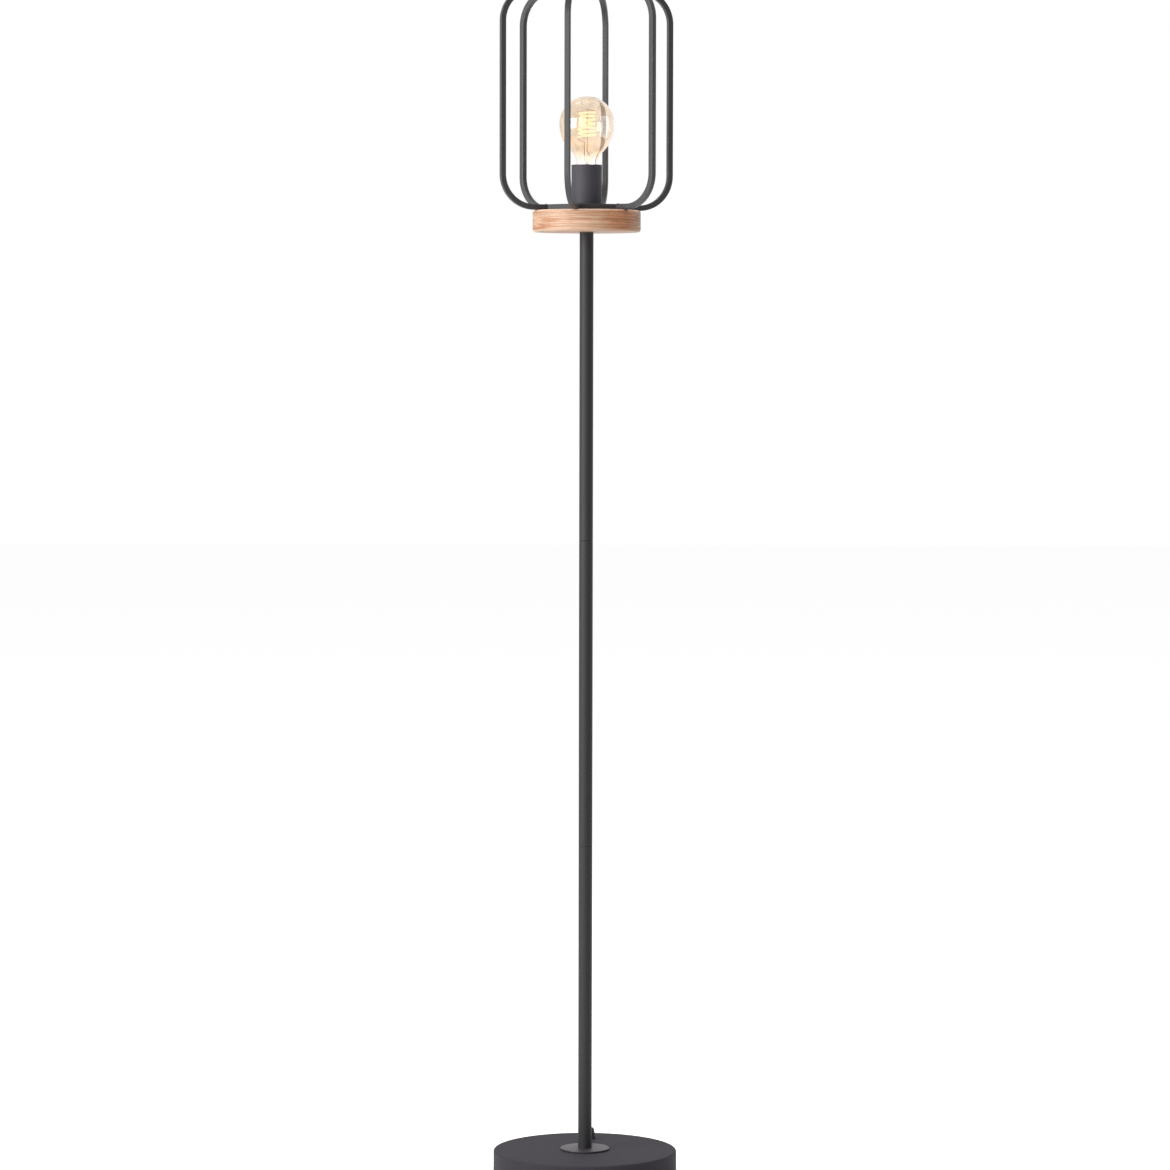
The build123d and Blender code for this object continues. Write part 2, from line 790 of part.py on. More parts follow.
def make_filament_wires():
    """Two stiff wires from the stem to the ends of the coil, each ending in a small ferrule."""
    ferrule_radius = 0.6
    ferrule_length = 2.2
    wire_x = 2.6
    long_wire_x = 0.6
    wire_rise = 2.0
    wire_bend = 0.7
    crank = 3.0
    top_rise = 3.5
    lead = 2 * filament_wire_radius
    low_place, low_heading = filament_point(0)
    high_place, high_heading = filament_point(filament_quarters)
    low_end = low_place - low_heading * lead
    high_end = high_place + high_heading * lead
    low_far = low_end - low_heading * ferrule_length
    high_far = high_end + high_heading * ferrule_length
    short_route = [
        (-wire_x, 0, stem_top),
        (-wire_x, 0, filament_bottom - 2 * crank),
        (low_far.X, low_far.Y + crank, low_far.Z - wire_rise),
        tuple(low_far),
    ]
    long_route = [
        (wire_x, 0, stem_top),
        (wire_x, 0, stem_top + wire_rise),
        (long_wire_x, 0, stem_top + wire_rise + crank),
        (long_wire_x, 0, filament_top + top_rise),
        (high_far.X, high_far.Y + crank, filament_top + wire_rise),
        tuple(high_far),
    ]
    with BuildPart() as filament_wires:
        for route in (short_route, long_route):
            with BuildLine() as wire:
                FilletPolyline(*route, radius=wire_bend)
            with BuildSketch(Plane(origin=route[0], z_dir=(0, 0, 1))):
                RegularPolygon(lead_wire_radius, lead_wire_sides)
            sweep(path=wire.wire())
        for end, heading in ((low_end, low_heading * -1), (high_end, high_heading)):
            with BuildSketch(Plane(origin=end, z_dir=heading)):
                RegularPolygon(ferrule_radius, filament_sides)
            extrude(amount=ferrule_length)
    filament_wires.part.label = "filament_wires"
    export_step(filament_wires.part, "parts/filament_wires.step")


def make_bulb_driver():
    """Round circuit board in the cap with its smoothing capacitor."""
    capacitor_radius = 2.8
    capacitor_height = 6.0
    with BuildPart() as bulb_driver:
        with BuildSketch(Plane.XY.offset(board_bottom)):
            Circle(board_radius)
        extrude(amount=board_thickness)
        with BuildSketch(Plane.XY.offset(board_bottom + board_thickness)):
            with Locations((-board_radius / 2, 0)):
                Circle(capacitor_radius)
        extrude(amount=capacitor_height)
    bulb_driver.part.label = "bulb_driver"
    export_step(bulb_driver.part, "parts/bulb_driver.step")


def make_lead_in_wires():
    """Wires from the cap's tip and lip to the circuit board, and from the board up into the stem."""
    lip_wire_x = 9.7
    stem_wire_x = 0.35
    stem_wire_radius = 0.2
    with BuildPart() as lead_in_wires:
        with BuildSketch(Plane.XY.offset(cap_bottom)):
            Circle(lead_wire_radius)
        extrude(amount=board_bottom - cap_bottom)
        with BuildSketch(Plane.XY.offset(cap_bottom + cap_wall)):
            with Locations((lip_wire_x, 0)):
                Circle(lead_wire_radius)
        extrude(amount=board_bottom - cap_bottom - cap_wall)
        with BuildSketch(Plane.XY.offset(board_bottom + board_thickness)):
            with Locations((stem_wire_x, 0), (-stem_wire_x, 0)):
                Circle(stem_wire_radius)
        extrude(amount=flare_top - board_bottom - board_thickness)
    lead_in_wires.part.label = "lead_in_wires"
    export_step(lead_in_wires.part, "parts/lead_in_wires.step")


# ---------------------------------------------------------------- mains lead and gland


def make_cable_gland():
    """Cord grip on the base behind the pole: round collar, tapered nose and threaded stem."""
    collar_height = 4.0
    collar_edge = 0.8
    nose_edge = 1.0
    with BuildPart() as cable_gland:
        with BuildSketch(Plane.XZ):
            with BuildLine():
                Polyline(
                    (0, gland_stem_bottom),
                    (gland_stem_radius, gland_stem_bottom),
                    (gland_stem_radius, base_height),
                    (gland_collar_radius, base_height),
                    (gland_collar_radius, base_height + collar_height),
                    (gland_tip_radius, gland_top),
                    (0, gland_top),
                    close=True,
                )
            make_face()
        revolve(axis=Axis.Z)
        chamfer(outer_rims(cable_gland, gland_collar_radius).sort_by(Axis.Z)[-1], collar_edge)
        chamfer(cable_gland.edges().filter_by(GeomType.CIRCLE).sort_by(Axis.Z)[-1], nose_edge)
        with BuildSketch(Plane.XY.offset(gland_stem_bottom)):
            Circle(gland_bore_radius)
        extrude(amount=gland_top - gland_stem_bottom, mode=Mode.SUBTRACT)
    gland = cable_gland.part.moved(Location((gland_x, gland_y, 0)))
    gland.label = "cable_gland"
    export_step(gland, "parts/cable_gland.step")


def make_flex():
    """Round mains lead from the gland, under the weight and up the pole to the lampholder."""
    foot_bend = 7.0
    gland_bend = 8.0
    flex_end = gland_stem_bottom - rod_clearance
    with BuildPart() as flex:
        with BuildLine() as route:
            FilletPolyline(
                (0, 0, flex_top),
                (0, 0, flex_level),
                (gland_x, gland_y, flex_level),
                (gland_x, gland_y, flex_end),
                radius=[foot_bend, gland_bend],
            )
        with BuildSketch(Plane.XY.offset(flex_top)):
            Circle(flex_radius)
        sweep(path=route.wire())
    tube = route.wire().length * math.pi * flex_radius**2
    print("lead volume over length times section", round(flex.part.volume / tube, 4))
    flex.part.label = "flex"
    export_step(flex.part, "parts/flex.step")


def make_cores():
    """The lead's two insulated cores, bent out from its end to the terminals."""
    core_level = chamber_top - terminal_height / 2
    core_bend = 1.6
    core_x = 1.3
    block_face = terminal_x - terminal_length / 2
    with BuildPart() as cores:
        for side in (1, -1):
            with BuildLine() as route:
                FilletPolyline(
                    (side * core_x, 0, flex_top),
                    (side * core_x, 0, core_level),
                    (side * block_face, 0, core_level),
                    radius=core_bend,
                )
            with BuildSketch(Plane(origin=(side * core_x, 0, flex_top), z_dir=(0, 0, 1))):
                RegularPolygon(core_radius, core_sides)
            sweep(path=route.wire())
    cores.part.label = "cores"
    export_step(cores.part, "parts/cores.step")


def main():
    """Build every piece and write each to its own file."""
    os.makedirs("parts", exist_ok=True)
    make_base_cover()
    make_base_weight()
    make_base_pad()
    make_foot_rosette()
    make_foot_washer()
    make_hex_nut("foot_nut", foot_nut_bottom, nut_height)
    make_threaded_rod("foot_rod", foot_rod_bottom, base_height + rod_reach)
    for index, name in enumerate(section_names):
        make_pole_section(name, base_height + index * section_length)
    make_pole_bushes()
    for index, name in enumerate(("lower_joiner", "upper_joiner")):
        joint = base_height + (index + 1) * section_length
        make_threaded_rod(name, joint - rod_reach, joint + rod_reach)
    make_threaded_rod("head_rod", pole_top - rod_reach, head_rod_top)
    make_wood_disc()
    for index, name in enumerate(bar_names):
        make_cage_bar(f"cage_bar_{name}", first_bar_angle + index * 360 / len(bar_names))
    make_cage_ring("cage_ring_lower", disc_top)
    make_cage_ring("cage_ring_upper", cage_top - bar_size)
    make_cage_plate()
    make_plate_screws()
    make_hex_nut("head_nut", head_nut_bottom, nut_height)
    make_socket_cup()
    make_lampholder_body()
    make_lampholder_shell()
    make_contacts()
    make_terminals()
    make_bulb_glass()
    make_bulb_cap()
    make_bulb_cement()
    make_bulb_insulator()
    make_bulb_tip()
    make_bulb_stem()
    make_bulb_filament()
    make_filament_wires()
    make_bulb_driver()
    make_lead_in_wires()
    make_cable_gland()
    make_hex_nut("gland_nut", cover_underside - gland_nut_height, gland_nut_height, gland_x, gland_y)
    make_flex()
    make_cores()


if __name__ == "__main__":
    main()
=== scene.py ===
"""Wire cage floor lamp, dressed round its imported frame.

Lengths are in metres in the frame's own axes: +Z is up, and the photograph's viewer stands at -Y.
"""

import json
import logging
import math
from collections.abc import Callable, Iterator
from contextlib import contextmanager
from dataclasses import dataclass
from enum import Enum

import bmesh
import bpy
from mathutils import Matrix, Vector


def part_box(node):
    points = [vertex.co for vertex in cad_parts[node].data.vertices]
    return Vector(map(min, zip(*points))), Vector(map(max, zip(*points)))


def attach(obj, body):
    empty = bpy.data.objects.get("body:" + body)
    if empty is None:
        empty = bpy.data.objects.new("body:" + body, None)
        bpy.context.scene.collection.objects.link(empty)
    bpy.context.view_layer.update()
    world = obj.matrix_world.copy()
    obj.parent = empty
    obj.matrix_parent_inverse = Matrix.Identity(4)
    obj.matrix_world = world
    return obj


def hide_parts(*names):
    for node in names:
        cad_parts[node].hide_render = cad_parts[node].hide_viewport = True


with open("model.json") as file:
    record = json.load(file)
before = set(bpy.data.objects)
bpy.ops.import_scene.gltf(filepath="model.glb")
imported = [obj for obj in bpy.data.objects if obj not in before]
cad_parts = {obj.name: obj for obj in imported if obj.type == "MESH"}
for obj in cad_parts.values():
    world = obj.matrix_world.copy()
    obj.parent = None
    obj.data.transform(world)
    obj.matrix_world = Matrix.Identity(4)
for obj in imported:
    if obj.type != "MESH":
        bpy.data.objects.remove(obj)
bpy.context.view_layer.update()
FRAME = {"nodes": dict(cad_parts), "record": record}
MM = 0.001
LOG = logging.getLogger("cage_lamp")

Triple = tuple[float, float, float]
Colour = tuple[float, float, float, float]
Profile = list[tuple[float, float]]
Piece = bpy.types.Object

BLACK: Colour = (0.0, 0.0, 0.0, 1.0)
WHITE: Colour = (1.0, 1.0, 1.0, 1.0)


class Body(Enum):
    """The frame's two rigid bodies."""

    LAMP = "lamp"
    BULB = "bulb"


class Domain(Enum):
    """What is picked in edit mode."""

    VERTS = "VERT"
    EDGES = "EDGE"


# ---- shader maths


class Shade:
    """A shader socket that Python's operators turn into Math nodes."""

    def __init__(self, graph: "Graph", socket: bpy.types.NodeSocket | None) -> None:
        """Holds a socket and the graph that it belongs to."""
        self.graph = graph
        self.socket = socket

    def _math(self, operation: str, left: "Value", right: "Value") -> "Shade":
        """Adds one Math node."""
        return self.graph.node("ShaderNodeMath", {"operation": operation}, {0: left, 1: right})

    def __add__(self, other: "Value") -> "Shade":
        """self + other."""
        return self._math("ADD", self, other)

    def __sub__(self, other: "Value") -> "Shade":
        """self - other."""
        return self._math("SUBTRACT", self, other)

    def __rsub__(self, other: "Value") -> "Shade":
        """other - self."""
        return self._math("SUBTRACT", other, self)

    def __mul__(self, other: "Value") -> "Shade":
        """self * other."""
        return self._math("MULTIPLY", self, other)

    __radd__ = __add__
    __rmul__ = __mul__


Value = Shade | float | Colour | Vector | Triple


class Graph:
    """The node tree of a material or of the world, filled node by node."""

    def __init__(self, tree: bpy.types.NodeTree) -> None:
        """Empties a tree to start it afresh."""
        self.tree = tree
        tree.nodes.clear()

    def node(
        self,
        kind: str,
        settings: dict[str, str] | None = None,
        inputs: dict[str | int, Value] | None = None,
        output: str | int = 0,
    ) -> Shade:
        """Adds any node.

        Args:
            kind: The node's Blender type.
            settings: Its properties, which are set before its sockets.
            inputs: What each input socket holds or is linked to.
            output: The output that is wanted.

        Returns:
            The wanted output socket, empty for a node that has none.
        """
        made = self.tree.nodes.new(kind)
        for name, setting in (settings or {}).items():
            setattr(made, name, setting)
        for name, value in (inputs or {}).items():
            if isinstance(value, Shade):
                self.tree.links.new(value.socket, made.inputs[name])
            else:
                made.inputs[name].default_value = value
        return Shade(self, made.outputs[output] if made.outputs else None)

    def place(self, scale: Triple = (1, 1, 1)) -> Shade:
        """Object coordinates, with how many pattern units a metre holds along X, Y and Z."""
        start = self.node("ShaderNodeTexCoord", output="Object")
        return self.node("ShaderNodeMapping", {"vector_type": "POINT"}, {0: start, "Scale": scale})

    def axis(self, name: str) -> Shade:
        """One of the object coordinates, in metres."""
        return self.node("ShaderNodeSeparateXYZ", inputs={0: self.place()}, output=name)

    def apart(self, place: Shade, middle: Vector) -> Shade:
        """The distance of a place from a point."""
        settings = {"operation": "DISTANCE"}
        return self.node("ShaderNodeVectorMath", settings, {0: place, 1: middle}, "Value")

    def noise(self, place: Shade, scale: float = 1.0, detail: float = 2.0, roughness: float = 0.5) -> Shade:
        """Soft noise from 0 to 1 read at a place."""
        inputs = {"Vector": place, "Scale": scale, "Detail": detail, "Roughness": roughness}
        return self.node("ShaderNodeTexNoise", {}, inputs, "Fac")

    def ease(self, value: Shade, low: float, high: float) -> Shade:
        """Rises smoothly from 0 at low to 1 at high."""
        inputs = {"Value": value, "From Min": low, "From Max": high}
        return self.node("ShaderNodeMapRange", {"interpolation_type": "SMOOTHSTEP"}, inputs)

    def mix(self, factor: Value, first: Value, second: Value) -> Shade:
        """Blends two colours, all second where the factor is 1."""
        return self.node("ShaderNodeMix", {"data_type": "RGBA"}, {0: factor, 6: first, 7: second}, 2)

    def bump(self, height: Shade, depth: float) -> Shade:
        """Turns a height from 0 to 1 into a normal, with its depth in metres."""
        return self.node("ShaderNodeBump", {}, {"Height": height, "Distance": depth, "Strength": 1.0})


def tone(colour: Colour, factor: float) -> Colour:
    """A colour made lighter or darker by a factor, its alpha kept."""
    return (colour[0] * factor, colour[1] * factor, colour[2] * factor, colour[3])


# ---- finishes


@dataclass(frozen=True)
class Finish:
    """What a surface is made of."""

    colour: Colour
    roughness: float

    def sockets(self, graph: Graph) -> dict[str, Value]:
        """What the surface's shader is given."""
        return {"Base Color": self.colour, "Roughness": self.roughness}

    def material(self, name: str) -> bpy.types.Material:
        """Builds the material under a name."""
        material = bpy.data.materials.new(name)
        material.use_nodes = True
        graph = Graph(material.node_tree)
        shader = graph.node("ShaderNodeBsdfPrincipled", {}, self.sockets(graph), "BSDF")
        graph.node("ShaderNodeOutputMaterial", {}, {"Surface": shader})
        return material


@dataclass(frozen=True)
class PowderCoat(Finish):
    """Baked powder paint with a fine orange peel, whose tone drifts from place to place."""

    gloss: float = 0.35
    peel: float = 0.9 * MM
    peel_depth: float = 0.02 * MM
    drift: float = 0.14
    drift_scale: float = 14.0

    def sockets(self, graph: Graph) -> dict[str, Value]:
        """Paint whose tone and sheen drift a little, over a fine orange peel."""
        metres = graph.place()
        drift = graph.noise(metres, self.drift_scale, 4.0, 0.6)
        dull, bright = tone(self.colour, 1 - self.drift), tone(self.colour, 1 + self.drift)
        peel = graph.noise(metres, 1 / self.peel, 2.0)
        grit = graph.noise(metres, 3 / self.peel, 1.0)
        return {
            "Base Color": graph.mix(drift, dull, bright),
            "Roughness": self.roughness + (peel - 0.5) * 0.12 + (drift - 0.5) * 0.1,
            "Specular IOR Level": self.gloss,
            "Normal": graph.bump(peel * 0.7 + grit * 0.3, self.peel_depth),
        }


@dataclass(frozen=True)
class Timber(Finish):
    """Clear-lacquered wood with its grain along X and its growth layers nearly level.

    A grain is how many pattern units a metre holds along X, Y and Z.
    """

    dark: Colour = (0.36, 0.15, 0.065, 1.0)
    pore: Colour = (0.24, 0.10, 0.05, 1.0)
    # painted shade: a brown patch on the disc's front right, the side turned from the key light
    painted_shade: Colour = (0.60, 0.25, 0.12, 1.0)
    # painted highlight on the two rounded edges
    rim_highlight: Colour = (0.72, 0.54, 0.42, 1.0)
    # where the painted shade patch sits and how far it reaches
    painted_shade_place: Vector = Vector((38, -43, 1037)) * MM
    painted_shade_reach: float = 30.0 * MM
    edge: float = 3.0 * MM
    layer_grain: Triple = (5, 20, 160)
    band_grain: Triple = (8, 40, 520)
    gap_grain: Triple = (30, 30, 260)
    line_grain: Triple = (6, 12, 330)
    streak_grain: Triple = (16, 25, 700)
    fibre_grain: Triple = (90, 500, 2600)
    pore_grain: Triple = (60, 400, 1700)
    line_width: float = 0.075
    streak_width: float = 0.09
    relief: float = 0.08 * MM

    def sockets(self, graph: Graph) -> dict[str, Value]:
        """Growth layers, broken lines, fibres and open pores, with painted shade as a brown patch on the
        front right and a painted highlight on the rounded edges.
        """
        layers = graph.noise(graph.place(self.layer_grain))
        bands = graph.noise(graph.place(self.band_grain), roughness=0.55)
        gaps = graph.ease(graph.noise(graph.place(self.gap_grain), detail=1.0), 0.4, 0.52)
        fibres = graph.noise(graph.place(self.fibre_grain), detail=3.0, roughness=0.6)
        pores = graph.ease(graph.noise(graph.place(self.pore_grain), detail=1.0), 0.64, 0.7)
        # painted shade: a brown patch round one place on the front right, broken up by the grain bands
        away = graph.apart(graph.place(), self.painted_shade_place)
        painted_shade = 1 - graph.ease(away, self.painted_shade_reach / 4, self.painted_shade_reach)
        pale = graph.mix(graph.ease(layers, 0.35, 0.65), tone(self.colour, 1.08), tone(self.colour, 0.9))
        wood = graph.mix(painted_shade * (0.45 + bands * 0.9), pale, self.painted_shade)
        dark_marks = (
            graph.ease(bands, 0.54, 0.64) * 0.25,
            self.lines(graph, self.line_grain, self.line_width) * gaps * 0.9,
            self.lines(graph, self.streak_grain, self.streak_width) * (1 - gaps * 0.7) * 0.6,
            graph.ease(fibres, 0.45, 0.75) * 0.2,
        )
        for mark in dark_marks:
            wood = graph.mix(mark, wood, self.dark)
        # painted highlight: a paler colour on the two rounded edges
        wood = graph.mix(self.rim(graph) * 0.5, wood, self.rim_highlight)
        return {
            "Base Color": graph.mix(pores * 0.4, wood, self.pore),
            "Roughness": self.roughness + pores * 0.2 + (fibres - 0.5) * 0.12,
            "Specular IOR Level": 0.4,
            "Coat Weight": 0.1,
            "Coat Roughness": 0.3,
            "Normal": graph.bump(fibres * 0.35 + (1 - pores) * 0.65, self.relief),
        }

    def rim(self, graph: Graph) -> Shade:
        """1 on the disc's two rounded edges, where a highlight is painted, and else 0."""
        low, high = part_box("wood_disc")
        off = graph.axis("Z") - (low.z + high.z) / 2
        half = (high.z - low.z) / 2
        reach = graph.apart(graph.place((1, 1, 0)), Vector())
        out = graph.ease(reach, high.x - self.edge, high.x - self.edge / 2)
        return out * graph.ease(off * off, (half - self.edge) ** 2, half**2)

    @staticmethod
    def lines(graph: Graph, grain: Triple, width: float) -> Shade:
        """Thin lines along the grain, where a drawn-out noise crosses its middle.

        Args:
            graph: The material's graph.
            grain: The noise's scale along each axis.
            width: How far from its middle the noise may be in a line.

        Returns:
            1 in a line's middle and 0 between the lines.
        """
        off = graph.noise(graph.place(grain)) - 0.5
        return 1 - graph.ease(off * off, 0.0, width * width)


@dataclass(frozen=True)
class BareMetal(Finish):
    """Bare or plated metal with fine turning marks."""

    marks: float = 0.25 * MM
    mark_depth: float = 0.01 * MM
    cloud_scale: float = 220.0

    def sockets(self, graph: Graph) -> dict[str, Value]:
        """Metal whose marks run round the lamp's axis."""
        marks = graph.noise(graph.place((40, 40, 1 / self.marks)))
        cloud = graph.noise(graph.place(), self.cloud_scale, 3.0)
        return {
            "Base Color": graph.mix(cloud, tone(self.colour, 0.85), self.colour),
            "Metallic": 1.0,
            "Roughness": self.roughness + (marks - 0.5) * 0.2,
            "Normal": graph.bump(marks, self.mark_depth),
        }


@dataclass(frozen=True)
class Moulding(Finish):
    """Moulded plastic, rubber or cement, or rough castings, with a fine surface texture."""

    texture: float = 0.5 * MM
    texture_depth: float = 0.02 * MM
    drift_scale: float = 60.0

    def sockets(self, graph: Graph) -> dict[str, Value]:
        """A grained surface with a slight drift of tone."""
        grain = graph.noise(graph.place(), 1 / self.texture, 3.0)
        drift = graph.noise(graph.place(), self.drift_scale)
        return {
            "Base Color": graph.mix(drift, tone(self.colour, 0.85), tone(self.colour, 1.12)),
            "Roughness": self.roughness + (grain - 0.5) * 0.15,
            "Normal": graph.bump(grain, self.texture_depth),
        }


@dataclass(frozen=True)
class Glass(Finish):
    """Thin blown glass with faint ripples."""

    ripple_scale: float = 60.0
    ripple_depth: float = 0.02 * MM

    def sockets(self, graph: Graph) -> dict[str, Value]:
        """Clear or tinted glass, without a glow."""
        ripple = graph.noise(graph.place((1, 1, 0.5)), self.ripple_scale, 1.0)
        return {
            "Base Color": self.colour,
            "Roughness": self.roughness,
            "Transmission Weight": 1.0,
            "IOR": 1.45,
            "Normal": graph.bump(ripple, self.ripple_depth),
        }


@dataclass(frozen=True)
class GoldGlass(Glass):
    """Gold-tinted envelope, clear at its neck, under a veil of light that is warmest low down.

    A rise is where a change starts and ends, in shares of the glass's height.
    """

    clear: Colour = (0.99, 0.98, 0.97, 1.0)
    low_veil: Colour = (0.105, 0.055, 0.022, 1.0)
    high_veil: Colour = (0.066, 0.049, 0.037, 1.0)
    tint_rise: tuple[float, float] = (0.12, 0.34)
    warm_rise: tuple[float, float] = (0.35, 0.7)
    veil_rise: tuple[float, float] = (0.1, 0.3)
    patch: float = 14.0 * MM
    # painted reflection: round this spot the glass is painted paler, with less glow, where the side screen's
    # reflection shows
    reflection_spot: Vector = Vector((23, -19, 1134)) * MM
    reflection_spot_reach: float = 28.0 * MM
    reflection_spot_gold: float = 0.35

    def sockets(self, graph: Graph) -> dict[str, Value]:
        """Tint and veil that change up the glass, in soft patches, and fade round the spot where the side
        screen's reflection shows, a painted paling of that reflection.
        """
        bottom, top = (corner.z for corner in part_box("bulb_glass"))
        heights = {"Value": graph.axis("Z"), "From Min": bottom, "From Max": top}
        rise = graph.node("ShaderNodeMapRange", inputs=heights)
        cloud = graph.noise(graph.place(), 1 / self.patch, 1.0)
        # painted reflection: tint and glow fade towards the spot where the side screen's reflection shows
        away = graph.ease(graph.apart(graph.place(), self.reflection_spot), self.reflection_spot_reach / 3, self.reflection_spot_reach)
        gold = self.reflection_spot_gold + away * (1 - self.reflection_spot_gold)
        tint = graph.mix(graph.ease(rise, *self.tint_rise) * gold, self.clear, self.colour)
        warm = graph.mix(graph.ease(rise, *self.warm_rise), self.low_veil, self.high_veil)
        thick = graph.ease(rise, *self.veil_rise) * gold * (0.35 + graph.ease(cloud, 0.38, 0.62) * 0.9)
        veil = graph.mix(thick, BLACK, warm)
        return super().sockets(graph) | {"Base Color": tint, "Emission Color": veil, "Emission Strength": 1.0}


@dataclass(frozen=True)
class StemGlass(Glass):
    """Clear stem whose pinch glows with the light that it pipes down from the filament."""

    glow: Colour = (0.10, 0.045, 0.008, 1.0)
    pinch_height: float = 8.0 * MM

    def sockets(self, graph: Graph) -> dict[str, Value]:
        """A glow that fades below the pinch."""
        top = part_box("bulb_stem")[1].z
        rise = graph.ease(graph.axis("Z"), top - self.pinch_height, top - self.pinch_height / 2)
        glow = graph.mix(rise, BLACK, self.glow)
        return super().sockets(graph) | {"Emission Color": glow, "Emission Strength": 1.0}


@dataclass(frozen=True)
class Phosphor(Finish):
    """Phosphor-coated filament, brighter over each of its many chips."""

    glow: Colour = (0.98, 0.92, 0.66, 1.0)
    shade: Colour = (0.78, 0.66, 0.42, 1.0)
    chip: float = 1.5 * MM

    def sockets(self, graph: Graph) -> dict[str, Value]:
        """A glow that is paler over the chips and deeper between them."""
        chips = graph.noise(graph.place(), 1 / self.chip, 1.0)
        glow = graph.mix(graph.ease(chips, 0.4, 0.55), self.shade, self.glow)
        return super().sockets(graph) | {"Emission Color": glow, "Emission Strength": 1.0}


FINISHES: dict[str, Finish] = {
    "cage_paint": PowderCoat((0.022, 0.021, 0.024, 1), 0.45, gloss=0.55),
    "pole_paint": PowderCoat((0.0185, 0.0175, 0.0195, 1), 0.5, gloss=0.3),
    "cup_paint": PowderCoat((0.044, 0.041, 0.050, 1), 0.6, gloss=0.38),
    "base_paint": PowderCoat(
        (0.030, 0.026, 0.033, 1), 0.75, gloss=0.23, peel=1.1 * MM, peel_depth=0.12 * MM, drift=0.24
    ),
    "rosette_paint": PowderCoat((0.037, 0.032, 0.038, 1), 0.45, gloss=0.42, drift=0.3),
    "zinc_steel": BareMetal((0.62, 0.62, 0.60, 1), 0.35),
    "cast_iron": Moulding((0.10, 0.10, 0.10, 1), 0.8, texture=2.5 * MM, texture_depth=0.3 * MM),
    "foam": Moulding((0.03, 0.03, 0.03, 1), 0.85),
    "wood": Timber((0.54, 0.357, 0.242, 1), 0.5),
    "holder_plastic": Moulding((0.03, 0.03, 0.03, 1), 0.4),
    "brass": BareMetal((0.75, 0.56, 0.28, 1), 0.3),
    "gland_plastic": Moulding((0.032, 0.030, 0.032, 1), 0.5, texture=0.3 * MM),
    "lead_jacket": Moulding((0.02, 0.02, 0.02, 1), 0.55),
    "core_jacket": Moulding((0.25, 0.12, 0.06, 1), 0.5),
    "amber_glass": GoldGlass((0.80, 0.72, 0.62, 1), 0.0),
    "stem_glass": StemGlass((0.98, 0.92, 0.84, 1), 0.02),
    "cap_metal": BareMetal((0.74, 0.71, 0.66, 1), 0.25),
    "cap_insulator": Moulding((0.02, 0.02, 0.025, 1), 0.2),
    "cement": Moulding((0.75, 0.72, 0.66, 1), 0.9),
    "solder": BareMetal((0.70, 0.70, 0.70, 1), 0.4),
    "circuit_board": Moulding((0.04, 0.18, 0.08, 1), 0.4),
    "filament": Phosphor((0.5, 0.42, 0.22, 1), 0.8),
    "wire": BareMetal((0.22, 0.17, 0.13, 1), 0.5),
}


# ---- modelling tools


